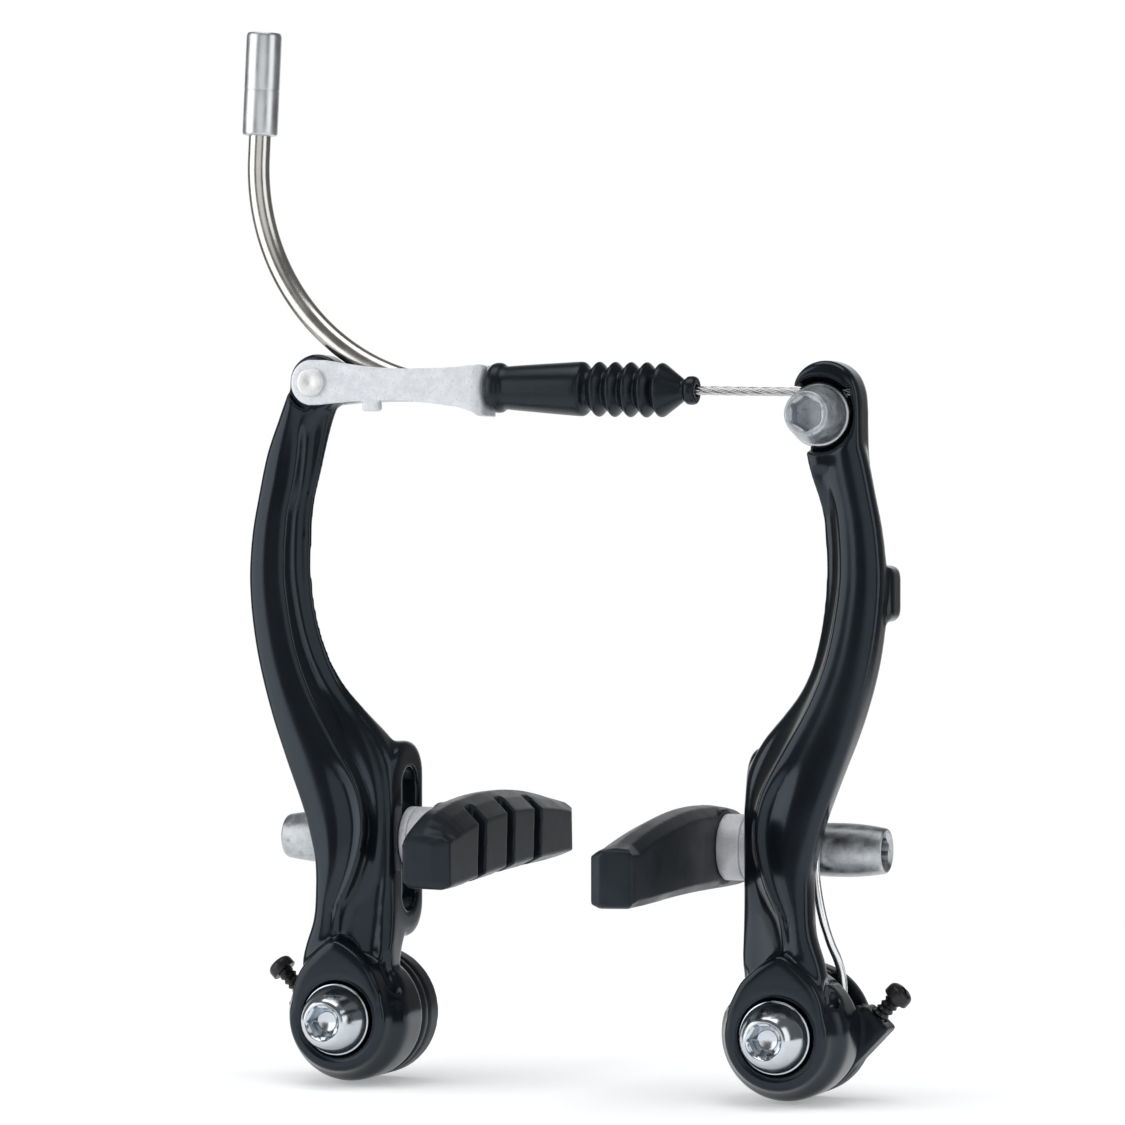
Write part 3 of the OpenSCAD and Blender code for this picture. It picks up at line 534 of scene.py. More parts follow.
# name, colour, metal, roughness and its spread, cloud, tint, grain, height
paint = finish("gloss_black_paint", (0.0055, 0.0070, 0.0095), 0, 0.17, 0.05, 60, 0.2, 900, 0.004)
nylon = finish(
    "satin_black_nylon", (0.006, 0.007, 0.009), 0, 0.4, 0.08, 90, 0.2, 3000, 0.01, specular=0.35
)
pad_rubber = finish(
    "moulded_pad_rubber", (0.009, 0.011, 0.014), 0, 0.38, 0.08, 140, 0.25, 2600, 0.014, specular=0.4
)
boot_rubber = finish(
    "soft_boot_rubber", (0.005, 0.006, 0.008), 0, 0.3, 0.06, 120, 0.2, 2200, 0.008, specular=0.4
)
black_oxide = finish(
    "black_oxide_steel", (0.012, 0.012, 0.014), 0.2, 0.34, 0.08, 300, 0.3, 3000, 0.01
)
chrome = finish("bright_plated_steel", (0.60, 0.64, 0.68), 1, 0.17, 0.07, 320, 0.1, 1500, 0.006)
dull_plate = finish(
    "dull_zinc_plate", (0.50, 0.53, 0.56), 0.85, 0.46, 0.1, 420, 0.25, 2600, 0.012,
    speckle=(1600, 0.6, (0.25, 0.27, 0.30)),
)
washer_plate = finish("washer_plate", (0.60, 0.62, 0.65), 1, 0.28, 0.08, 400, 0.15, 2200, 0.005)
frosted = finish(
    "frosted_aluminium", (0.78, 0.78, 0.81), 0.35, 0.55, 0.08, 500, 0.1, 4200, 0.03,
    speckle=(2400, 0.6, (0.60, 0.60, 0.64)),
)
cast_zinc = finish(
    "cast_zinc", (0.46, 0.48, 0.50), 1, 0.4, 0.12, 500, 0.3, 1800, 0.03,
    speckle=(900, 0.64, (0.17, 0.18, 0.19)),
)
sheet_zinc = finish(
    "frosted_sheet_zinc", (0.79, 0.81, 0.84), 0.45, 0.48, 0.08, 700, 0.1, 2600, 0.03,
    speckle=(3200, 0.57, (0.66, 0.68, 0.72)),
)
rivet_plate = finish("rivet_plate", (0.80, 0.80, 0.80), 0.7, 0.42, 0.08, 900, 0.1, 2600, 0.02)
noodle_steel = finish(
    "polished_noodle_steel", (0.66, 0.64, 0.61), 1, 0.22, 0.05, 200, 0.08, 3500, 0.003
)
drawn_wire = finish("drawn_spring_wire", (0.78, 0.79, 0.80), 1, 0.22, 0.05, 400, 0.1, 4000, 0.003)
turned_steel = finish("turned_steel", (0.58, 0.59, 0.60), 1, 0.26, 0.06, 300, 0.1, 3000, 0.004)
ferrule_alu = finish("turned_aluminium", (0.72, 0.74, 0.76), 1, 0.34, 0.06, 240, 0.1, 3200, 0.01)
liner_nylon = finish("natural_nylon", (0.72, 0.70, 0.62), 0, 0.45, 0.05, 300, 0.06, 3000, 0.005)
cable_wire = finish("stranded_cable_wire", (0.62, 0.62, 0.62), 1, 0.3, 0.06, 900, 0.12, 5000, 0.001)
# Black paint and rubber mirror the studio a little bluer than it is
for glossy in (paint, nylon, pad_rubber, boot_rubber):
    shader = glossy.node_tree.nodes["Principled BSDF"]
    shader.inputs["Specular Tint"].default_value = (0.72, 0.87, 1.0, 1)
print(len(bpy.data.materials), "materials")

# %% [markdown]
# ## The arms
# An arm is one casting: a blade with a front flange and an inner wall, the pivot housing, a
# raised face round the bolt, a slotted plate for the pad and a lug for the spring. The blade
# is a level section that changes with height, read from tables of measured edges. The parts
# overlap, and one skin is then laid over them, which gives the soft inner corners of a
# casting that separate solids can't have.

# %% Tables of the blade: height, value
OUTER_EDGE = [
    [4, 6.9], [9, 7.7], [12, 7.2], [17, 5.6], [22, 5.2], [27, 5.3], [31, 6.1], [36, 7.5],
    [45, 10.9], [53, 13.7], [62, 16.1], [70, 17.4], [77, 17.8], [84, 17.3], [90, 16.2],
    [98, 14.4], [104, 12.2], [110.5, 9.7],
]
RIDGE = [
    [4, 1.4], [15, 1.0], [19.5, 0.3], [22, -0.9], [24.5, -2.1], [27.8, -3.3], [31, -4.1],
    [34.5, -4.3], [38.5, -3.6], [42, -2.2], [48, 1.2], [54, 4.6], [59, 6.9], [64, 8.6],
    [70, 9.9], [77.5, 10.8], [87, 10.3], [93, 9.0], [98, 8.3], [104, 7.9], [110.5, 7.2],
]
INNER_EDGE = [
    [4, -7.4], [12, -7.9], [24, -8], [39, -7.9], [44.5, -7.1], [49, -4.9], [53.5, -1.2],
    [57, 1.6], [61, 3.8], [65, 5.2], [69, 6.2], [75, 7.0], [81.5, 7.1], [89, 6.5],
    [96, 4.9], [103, 3.4], [107, 2.1], [110.5, 0.9],
]
BEVEL_DEPTH = [
    [4, 5.0], [12, 6.4], [20, 7.4], [40, 7.6], [49, 8.3], [53.5, 8.6], [61, 7.7],
    [69, 6.4], [81.5, 5.6], [96, 4.9], [110.5, 4.9],
]
FLANGE_BACK = [
    [4, 6.6], [14, 6.8], [20, 7.2], [43, 7.2], [50, 8.2], [60, 8.8], [70, 8.2], [80, 6.8],
    [90, 6.2], [98, 6.4], [110.5, 6.6],
]
WALL_BACK = [
    [4, 11], [10, 11.2], [14, 12.8], [18, 16.2], [22, 17.5], [40, 17.5], [45, 15.2],
    [50, 11.8], [56, 9.5], [62, 7.9], [70, 6.8], [80, 6.3], [96, 6.3], [104, 7.2],
    [110.5, 7.6],
]


def along(table, z):
    """Value of a smooth curve through rows of place and value. Between two rows it is the
    cubic whose slope at a row is that of the line joining the rows on either side."""
    t = np.asarray(table, float)
    place, value = t[:, 0], t[:, 1]
    slope = np.gradient(value, place)
    inner = (value[2:] - value[:-2]) / (place[2:] - place[:-2])
    slope[1:-1] = inner
    i = np.clip(np.searchsorted(place, z, side="right") - 1, 0, len(t) - 2)
    h = place[i + 1] - place[i]
    s = (z - place[i]) / h
    return (
        (2 * s**3 - 3 * s**2 + 1) * value[i]
        + (s**3 - 2 * s**2 + s) * slope[i] * h
        + (3 * s**2 - 2 * s**3) * value[i + 1]
        + (s**3 - s**2) * slope[i + 1] * h
    )


def blade_sections(z, channel_end, hollow=1.0, level_from=999):
    """Level sections of the blade, outwards and backwards from the pivot, one for each
    height. The front face is slightly crowned. A furrow runs beside the ridge near the
    waist. Inside the ridge the channel sinks between ridge and inner rib, and hollow
    scales how far. Above level_from the inner bevel has risen to the front face."""
    o, r, i = along(OUTER_EDGE, z), along(RIDGE, z), along(INNER_EDGE, z)
    d, b, k = along(BEVEL_DEPTH, z), along(WALL_BACK, z), along(FLANGE_BACK, z)
    f, crown = 2.0, 0.3  # depth of the front face, and how far its middle stands out
    d = d + (f + 0.45 - d) * fade(z, level_from - 9, level_from)
    grown = np.clip(0.4 + (z - 44) * 0.075, 0.4, 1)
    w = np.maximum(-4.5, i + np.minimum(3.5, (o - i) * 0.42) * grown)
    furrow = 0.85 * fade(z, 13, 20) * (1 - fade(z, 38, 47))
    # From the inner edge to the ridge, and the direction into the metal
    across = np.hypot(r - 0.25 - i, d - f - 0.4)
    e_u, e_d = (r - 0.25 - i) / across, (f + 0.4 - d) / across
    n_u, n_d = -e_d, e_u
    sink = np.clip(0.2 * across, 0.4, 1.25) * (1 - fade(z, channel_end - 6, channel_end))
    sink = hollow * sink * (1 + 0.3 * fade(z, 17, 24) * (1 - fade(z, 32, 42)))

    def channel(share, deep):
        return [i + e_u * across * share + n_u * sink * deep,
                d + e_d * across * share + n_d * sink * deep]

    # Corners of the section, each with the reach of its rounding: round the back from the
    # outer wall to the inner one, over the channel, and along the front face
    width = o - 1.2 - (r + 0.7)
    corners = [
        ([o, 0 * z + f + 1.5], 0.5),
        ([o - 0.1, k], 0.9),
        ([w, np.minimum(k, b - 0.05)], 1.6),
        ([w, b], 0.9),
        ([i, b], 0.9),
        ([i, d + 0.35], 0.3),
        (channel(0.0, 0.0), 0.25),
        (channel(0.2, -0.02), 0.3),
        (channel(0.32, 0.7), 0.5),
        (channel(0.45, 1.0), 1.2),
        (channel(0.74, 0.98), 0.9),
        (channel(0.93, 0.5), 0.35),
        ([r - 0.2, 0 * z + f + 0.35], 0.3),
        ([r + 0.55, 0 * z + f + 0.05], 0.4),
        ([r + 0.7 + width * 0.12, f - 0.05 + furrow], 0.6),
        ([r + 0.7 + width * 0.24, f - 0.05 + furrow * 0.7], 0.8),
        ([r + 0.7 + width * 0.42, f - crown * 0.8 + furrow * 0.1], 1.2),
        ([r + 0.7 + width * 0.7, f - crown + 0 * z], 1.5),
        ([o - 1.0, 0 * z + f], 0.8),
        ([o - 0.25, 0 * z + f + 0.5], 0.4),
    ]
    path = np.stack([np.stack(c, -1) for c, _ in corners], 1)
    reach = np.array([q for _, q in corners])
    return rounded(path, reach, 5, closed=True)


def blade(top, channel_end, hollow=1.0, level_from=999, step=0.6):
    """The blade as a skin over its level sections, from just above the pivot to the top."""
    z = np.linspace(4, top, int((top - 4) / step))
    section = blade_sections(z, channel_end, hollow, level_from)
    rings = np.concatenate(
        [
            PIVOT_X + section[..., :1],
            section[..., 1:] - STACK,
            np.broadcast_to(z[:, None, None], section.shape[:2] + (1,)),
        ],
        -1,
    )
    return mesh_object("blade", *skin(rings))


def slab(outline, rows, place, reach=0.6):
    """A plate whose edge follows the outline. rows lists how far each level lies along the
    place's first direction and how far its edge is drawn in, so its rims are rounded."""
    edge = rounded(outline, reach, 5, closed=True)
    keep = np.linalg.norm(edge - np.roll(edge, 1, 0), axis=1) > 1e-6
    edge = edge[keep]
    turn_to = unit(np.roll(edge, -1, 0) - np.roll(edge, 1, 0))
    area = np.sum(edge[:, 0] * np.roll(edge[:, 1], -1) - np.roll(edge[:, 0], -1) * edge[:, 1])
    inward = np.stack([-turn_to[:, 1], turn_to[:, 0]], 1) * np.sign(area)
    rings = np.stack(
        [
            np.column_stack([np.full(len(edge), level), edge + inward * inset])
            for level, inset in rows
        ]
    )
    return mesh_object("slab", *skin(place.put(rings)))


def round_rect(width, height, radius, steps=9):
    """Corner points of a rectangle with quarter-circle corners."""
    turn_by = np.linspace(0, math.pi / 2, steps)
    arcs = []
    for quarter, (sx, sy) in enumerate([(1, 1), (-1, 1), (-1, -1), (1, -1)]):
        angle = turn_by + quarter * math.pi / 2
        centre = np.array([sx * (width / 2 - radius), sy * (height / 2 - radius)])
        arcs.append(centre + radius * np.stack([np.cos(angle), np.sin(angle)], 1))
    return np.vstack(arcs)


def rim(near, far, radius, steps=5):
    """Rows for a slab from near to far whose two rims are quarter circles."""
    turn_by = np.linspace(0, math.pi / 2, steps)
    rise, inset = radius * (1 - np.sin(turn_by)), radius * (1 - np.cos(turn_by))
    return [*zip(near + rise[::-1], inset[::-1]), *zip(far - rise, inset)]


def rod(radius, near, far, place, sides=72):
    """A plain round cutter."""
    return turn("rod", [[0, near], [radius, near], [radius, far], [0, far]], place, sides)


def arm_parts(top, channel_end, hollow=1.0, level_from=999):
    """The overlapping solids of one arm: housing, raised face, slotted plate, lug and blade. The holes are cut later,
    from the joined skin.
    """
    pivot = depth_place(PIVOT_X, 0)
    housing_profile = rounded(
        [[0, 0], [9.0, 0], [9.35, 1.9], [10.2, 3.4], [11.2, 4.9], [11.3, 6.4], [11.3, 12.6], [0, 12.6]],
        [0, 0.9, 0.8, 1.0, 1.0, 1.0, 0.7, 0], 6,
    )
    housing = turn("housing", housing_profile, pivot, 128)
    face_outline = [
        [-8.8, 2], [-8.6, 4.4], [-7.6, 6.6], [-6.3, 9.1], [-3.2, 11.9], [-0.6, 13.5], [0.7, 13.9], [1.9, 13.4],
        [4.1, 11.6], [6.9, 8.8], [8.2, 5.9], [8.8, 2], [8.2, -3], [0, -8.8], [-8.2, -3],
    ]
    raised = slab(face_outline, rim(0, 4.6, 0.8), pivot, 1.4)
    plate = slab(
        round_rect(13, 34.4, 6.0), rim(0, 3.5, 1.15),
        Place([PLATE_X, STUD_DEPTH - STACK, STUD_Z], [1, 0, 0], [0, 1, 0]), 0.0,
    )
    lug = slab(
        round_rect(6.5, 9.6, 1.8), rim(6.2, 12.4, 1.0),
        Place([PIVOT_X + 15.25, -STACK, 74], [0, 1, 0], [1, 0, 0]), 0.0,
    )
    return [housing, raised, plate, lug, blade(top, channel_end, hollow, level_from)]


def arm_tools():
    """What is taken out of both arms: the bolt's recess, the bush's bore, the pad slot, and
    the two scoops above the housing's sides, which are egg shapes."""
    pivot = depth_place(PIVOT_X, 0)
    egg = np.linspace(0, math.pi, 15)
    scoops = [
        turn(
            "scoop", np.column_stack([wide * np.sin(egg), -tall * np.cos(egg)]),
            Place([PIVOT_X + out, 5.0 - STACK, up], [lean, 0.0, 0.94], [0.94, 0, -lean]), 32,
        )
        for out, up, lean, wide, tall in ((-8.9, 8.0, 0.36, 2.2, 4.2), (8.9, 7.4, 0.3, 2.0, 3.2))
    ]
    return scoops + [
        turn("recess", [[0, -1], [7.3, -1], [6.9, 0.1], [6.5, 0.6], [6.35, 1.3], [6.3, 3.2], [0, 3.2]], pivot, 96),
        rod(5.1, -1, 13.6, pivot),
        slab(
            round_rect(6.6, 25, 3.3, 12), [(-2, 0), (5.5, 0)],
            Place([PLATE_X, STUD_DEPTH - STACK, STUD_Z], [1, 0, 0], [0, 1, 0]), 0.0,
        ),
    ]


def mirrored(obj):
    """Turns a right-hand piece into the left-hand one: X changes sign, and the faces are
    turned round so that they still point outwards."""
    mesh = obj.data
    at = np.zeros(len(mesh.vertices) * 3, np.float32)
    mesh.vertices.foreach_get("co", at)
    at = at.reshape(-1, 3)
    at[:, 0] *= -1
    mesh.vertices.foreach_set("co", at.ravel())
    mesh.flip_normals()
    mesh.update()
    return obj


ARM_VOXEL = 0.3
anchor = depth_place(ANCHOR_X, ANCHOR_Z)


# %% The right arm, with the seat of the anchor bolt
def hooked_top():
    """The hooked top of the right arm, which carries the anchor bolt."""
    outline = [
        [-0.9, -9.4], [-1.5, -6.6], [-2.6, -4], [-4.0, -1], [-4.6, 2.2], [-4.4, 4.9],
        [-3.5, 6.9], [-1.8, 8.4], [0.4, 9.1], [2.6, 9.0], [4.6, 8.1], [6.1, 6.6],
        [7.0, 4.6], [7.4, 2.2], [7.4, -1], [7.5, -6], [7.9, -9.4],
    ]
    return slab(outline, rim(2.0, 8.7, 1.1), anchor, 1.2)


def seat_tools():
    """The seat that is sunk into the hooked top for the bolt's head, and the groove in which
    the cable crosses it."""
    seat = turn(
        "seat", [[0, -1], [7.2, -1], [6.5, 2.2], [6.0, 4.4], [5.9, 5.3], [0, 5.3]], anchor, 72
    )
    groove = slab(
        [[37, -0.8], [52.4, -0.8], [52.4, 0.8], [37, 0.8]],
        [(-7, 0), (0.6, 0)],
        Place(cable_line.origin, [0, 1, 0], cable_line.a), 0.0,
    )
    return [seat, groove]


right_arm = cast(
    "right_arm_casting", arm_parts(101, 98, 0.45, 95) + [hooked_top()], ARM_VOXEL, 10,
    tools=arm_tools() + seat_tools(),
)
fit_out(right_arm, paint, "right_arm", "right_arm", slot="arm_paint")

# %% The left arm, with the boss of the link's rivet
rivet = depth_place(RIVET_X, RIVET_Z)


def link_room():
    """Space in front of and behind the boss for the link's two plates."""
    tools = []
    for near, far in ((-1, 3.4), (8.8, 13.8)):
        tools.append(rod(4.9, near, far, rivet))
        room = [[-14, -5.2], [-2, -4.9], [0, -4.9], [3, 0], [9, 0.5], [9, 9], [-14, 9]]
        tools.append(slab(room, [(near, 0), (far, 0)], rivet, 0))
    return tools


boss = turn("boss", rounded([[0, 3.4], [5, 3.4], [5, 8.8], [0, 8.8]], [0, 0.4, 0.4, 0]), rivet, 72)
left_arm = mirrored(
    cast(
        "left_arm_casting", arm_parts(110.5, 106) + [boss], ARM_VOXEL, 10,
        tools=arm_tools() + link_room(),
    )
)
fit_out(left_arm, paint, "left_arm", "left_arm", slot="arm_paint")

# %% [markdown]
# ## Pads
# A pad is moulded rubber: a curved block with a flat braking face, bevelled edges, and
# grooves that clear water. It is a loft of sections along its length. The grooves are cut,
# then the skin is rebuilt finely and softened a little, because rubber edges are never sharp.

# %% Pad blocks
PAD_ROWS = [
    [-16.7, 4.0, 3.1, 5.8, 0.3], [-15.9, 5.2, 4.2, 8.6, 0.55], [-12.5, 7.4, 5.0, 8.6, 1],
    [-6, 8.3, 5.6, 8.6, 1], [4, 8.5, 6.0, 8.6, 1], [16, 8.2, 6.1, 8.6, 1], [28, 7.3, 6.0, 8.6, 1],
    [36, 6.4, 5.7, 8.6, 1], [42, 5.6, 5.2, 8.6, 1], [45.2, 5.2, 4.7, 7.4, 0.6],
    [46.0, 4.8, 4.2, 5.8, 0.3],
]


def pad_place(sign):
    """Both pads are the same piece. The left one is turned half round, so that its long end
    points back, and it is tilted a little."""
    if sign > 0:
        return Place([PAD_BACK_X, STUD_DEPTH - STACK, STUD_Z], [1, 0, 0], [0, 1, 0])
    tilt = math.radians(2.5)
    return Place(
        [-PAD_BACK_X, STUD_DEPTH - STACK, STUD_Z], [-1, 0, 0],
        [0, -math.cos(tilt), -math.sin(tilt)],
    )


def pad(name, sign):
    """The pad as a loft: each row gives a place along the pad, the heights above and below
    the middle line, the thickness, and the size of the bevels, which shrink towards the
    blunt ends. The middle line is an arc of 290 mm radius."""
    rows = np.array(PAD_ROWS)
    # More rows where the pad is long, so that its back is a smooth arc
    s = np.r_[-16.7, -15.9, np.linspace(-14.5, 42, 30), 45.2, 46.0]
    top, low, thick, bevel = (np.interp(s, rows[:, 0], rows[:, k]) for k in (1, 2, 3, 4))
    body = (s > -15) & (s < 43)
    top[body] = along(rows[1:9, [0, 1]], s[body])
    low[body] = along(rows[1:9, [0, 2]], s[body])
    middle = -1 - (s - 15) ** 2 / 580
    section = [
        (0 * s, top - 1.9 * bevel), (-1.5 * bevel, top - 0.3 * bevel), (-thick * 0.45, top),
        (-thick * (1 - 0.28 * bevel), top * (1 - 0.16 * bevel)), (-thick, top * (1 - 0.44 * bevel)),
        (-thick, -low * (1 - 0.24 * bevel)), (-thick * (1 - 0.34 * bevel), -low),
        (-1.4 * bevel, -low + 0.2 * bevel), (0 * s, -low + 1.6 * bevel),
    ]
    place = pad_place(sign)
    rings = np.stack([np.stack([q[0], -s, middle + q[1]], -1) for q in section], 1)
    block = mesh_object("block", *skin(place.put(rings)))
    boss = turn(
        "boss", [[0, -2], [6.55, -2], [6.55, 0], [0, 0]],
        Place(place.origin, place.a, place.b), 72,
    )
    tools = []
    for at in (-1.2, 12.2, 25.2):
        lean = math.radians(6)
        across = np.array([0, math.cos(lean), math.sin(lean)])
        upwards = np.array([0, -math.sin(lean), math.cos(lean)])
        corners = np.array([[-1.7, -14], [1.7, -14], [1.7, 14], [-1.7, 14]])
        rings = np.stack(
            [
                np.array([x, -at, -1]) + corners[:, :1] * across + corners[:, 1:] * upwards
                for x in (-9.6, -5.6)
            ]
        )
        tools.append(mesh_object("groove", *skin(place.put(rings))))
    cut(block, *tools)
    return cast(name, [block, boss], 0.25, 2)


for side, sign in SIDES:
    obj = pad(f"{side}_pad_block", sign)
    fit_out(obj, pad_rubber, f"{side}_pad", f"{side}_brake_pad", slot="pad_rubber")

# %% [markdown]
# ## Pivot hardware
# The bolt's head is a polished dome over a hexagon socket; its shank carries the thread that
# screws into the fork. A sleeve runs inside the arm. All are turned shapes, and the round
# seat under the socket's flats is what a real key bottoms on.

# %% Mounting bolts and pivot sleeves
for side, sign in SIDES:
    place = depth_place(PIVOT_X, 0, sign)
    top = -5.8  # the dome's top, in front of the housing
    dome = bowed(
        [[3.42, top + 0.03], [3.9, top + 0.42], [4.5, top + 1.35], [5.05, top + 2.6],
         [5.52, top + 3.9], [5.86, top + 5.0], [5.98, top + 5.6]], 6,
    )
    # A narrow flange closes the recess and catches a thin ring of light
    flange = rounded([[6.0, top + 5.66], [6.19, top + 5.7], [6.2, top + 7.2]], [0, 0.15, 0], 5)
    socket = [
        [0, top + 2.62], [1.5, top + 2.6], [1.66, top + 2.52], [1.8, top + 2.4],
        [2.6, top + 2.9], [2.6, top + 2.8], [2.6, top + 0.6], [2.6, top + 0.5],
        [2.98, top + 0.32], [3.12, top + 0.08], [3.26, top],
    ]
    under = rounded([[6.1, 2.0], [6.1, 2.9], [3, 2.9], [3, 3.6]], [0, 0.25, 0.2, 0], 4)
    rows = np.vstack(
        [socket, dome, flange, under, [[3.0, 8.4]], threaded(3.0, 8.6, 16.0, 1.0),
         [[2.9, 16.2], [2.4, 16.8], [0, 16.8]]]
    )
    bolt = crisp(
        turn(f"{side}_dome_bolt", rows, place, 96,
             {4: (1, 5), 5: (1, 5), 6: (1, 5), 7: (1, 5.08)},
             math.pi / 6, (8.4, 16.3, 1.0, 0.55))
    )
    fit_out(bolt, chrome, "mounts_and_springs", f"{side}_mounting_bolt", slot="bolt_chrome")
    ring = rounded(
        [[4.05, 2.9], [5, 2.9], [5, 19.6], [4.05, 19.6]], 0.2, 4, closed=True
    )
    sleeve = crisp(turn(f"{side}_sleeve", ring, place, 72, hollow=True))
    fit_out(sleeve, turned_steel, "mounts_and_springs", f"{side}_pivot_bush", slot="pivot_steel")

# %% [markdown]
# The spring hides in a nylon cup behind the arm. The cup has a lug for the tension screw, a
# slot that lets the spring's leg out, and a pin that enters one of three holes in the fork.

# %% Spring cups
def screw_place(sign):
    """The tension screw's line: 46 degrees up and outwards, 7.7 mm off the pivot's axis."""
    tilt = math.radians(46)
    along_it = np.array([math.cos(tilt), 0, math.sin(tilt)])
    down = np.array([math.sin(tilt), 0, -math.cos(tilt)])
    start = np.array([PIVOT_X, 15.9 - STACK, 0]) + 7.7 * down
    flip = np.array([sign, 1, 1])
    return Place(start * flip, along_it * flip, [0, 1, 0])


for side, sign in SIDES:
    place = depth_place(PIVOT_X, 0, sign)
    line = screw_place(sign)
    wall = turn(
        "wall",
        rounded(
            [[0, 12.9], [11.3, 12.9], [11.3, 14.6], [10.85, 14.85], [10.85, 15.4],
             [11.3, 15.7], [11.3, 19.6], [0, 19.6]],
            [0, 0.5, 0.2, 0.1, 0.1, 0.2, 0.6, 0], 4,
        ),
        place, 112,
    )
    lug = slab(
        rounded([[2, -2.8], [11.3, -2.8], [11.3, 2.9], [2, 2.9]], 0.5, 4, True),
        rim(-3.2, 2.7, 0.4),
        Place(line.origin, line.c, line.a, line.b), 0.0,
    )
    pin = turn(
        "pin", [[0, 18.6], [1.3, 18.6], [1.3, 24.2], [0.9, 24.6], [0, 24.6]],
        Place([sign * (PIVOT_X + 8), -STACK, 0], [0, 1, 0], [1, 0, 0], [0, 0, 1]), 40,
    )
    gate = math.radians(42)
    tools = [
        rod(5.0, -1, 21, place),
        turn("room", [[0, -1], [9.0, -1], [9.0, 17.6], [0, 17.6]], place, 96),
        rod(1.55, 0, 13, line, 32),
        slab(
            [[6, -3.4], [14, -3.4], [14, 3.6], [6, 3.6]], [(0, 0), (17.2, 0)],
            Place(place.origin, place.a, np.array([math.cos(gate) * sign, 0, math.sin(gate)]),
                  np.array([-math.sin(gate) * sign, 0, math.cos(gate)])), 0.0,
        ),
    ]
    cup = cast(f"{side}_spring_cup", [wall, lug, pin], 0.3, 3, tools=tools)
    fit_out(cup, nylon, "mounts_and_springs", f"{side}_spring_retainer", slot="retainer_plastic")

# %% Tension screws
for side, sign, out in (("right", 1, 3.9), ("left", -1, 5.0)):
    head = 11.3 + out  # underside of the head, along the screw
    rows = np.vstack(
        [
            [[0, head - 9.2], [0.7, head - 9.2], [1.1, head - 8.7]],
            threaded(1.5, head - 8.6, head - 0.5, 1.05),
            [[1.35, head - 0.4], [1.35, head - 0.02]],
            rounded([[1.35, head], [2.3, head], [2.3, head + 1.6], [1.6, head + 2.25], [0, head + 2.4]],
                    [0, 0.2, 0.6, 0.8, 0], 5),
        ]
    )
    screw = turn(f"{side}_pan_screw", rows, screw_place(sign), 64, thread=(head - 8.7, head, 1.05, 0.42))
    line = screw_place(sign)
    cross = [
        slab([[-0.32, -1.35], [0.32, -1.35], [0.32, 1.35], [-0.32, 1.35]], [(head + 1.2, 0.12), (head + 3, 0)],
             Place(line.origin, line.a, math.cos(q) * line.b + math.sin(q) * line.c), 0.0)
        for q in (math.pi / 4, 3 * math.pi / 4)
    ]
    crisp(cut(screw, *cross), 40)
    fit_out(screw, black_oxide, f"{side}_screw", f"{side}_tension_screw", slot="screw_black")

# %% [markdown]
# The return spring is one drawn wire: a coil round the pivot, then a leg that rises behind
# the flange to the arm's lug. The coil stays with the fork and the leg with the arm; the
# mesh here is one piece that is given no body.

# %% Return springs
LEG = [
    [7.0, 13.8, 2.4], [7.6, 13.8, 6.4], [7.5, 13.4, 9.6], [7.2, 11.9, 12.4], [6.5, 10.3, 15.2],
    [5.8, 9.0, 18.6], [5.0, 8.4, 23], [4.5, 8.3, 27.5], [4.6, 8.3, 33], [5.7, 8.4, 40],
    [7.4, 9.3, 48], [9.2, 9.9, 56], [10.6, 9.9, 64], [11.05, 9.6, 70], [11.05, 9.6, 79],
]
WIRE_R = 0.75
turns = np.radians(np.linspace(-614, -14, 120))  # 1.7 turns
coil = np.column_stack([6.6 * np.cos(turns), np.linspace(16.45, 13.8, 120), 6.6 * np.sin(turns)])
route = np.vstack([coil, bowed(LEG, 8)])
for side, sign in SIDES:
    wire = swept(
        f"{side}_spring_wire",
        (route + [PIVOT_X, -STACK, 0]) * [sign, 1, 1], WIRE_R, 16,
    )
    crisp(wire, 60)
    fit_out(wire, drawn_wire, None, f"{side}_return_spring", slot="spring_steel")
    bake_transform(wire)

# %% [markdown]
# ## Pad hardware
# A threaded stud leaves the pad's back. It passes a spacer and washers whose hollow and
# domed faces let the pad tilt, then a long nut with a hexagon socket. The nut is die-cast
# and tumbled, so its plating is mottled.

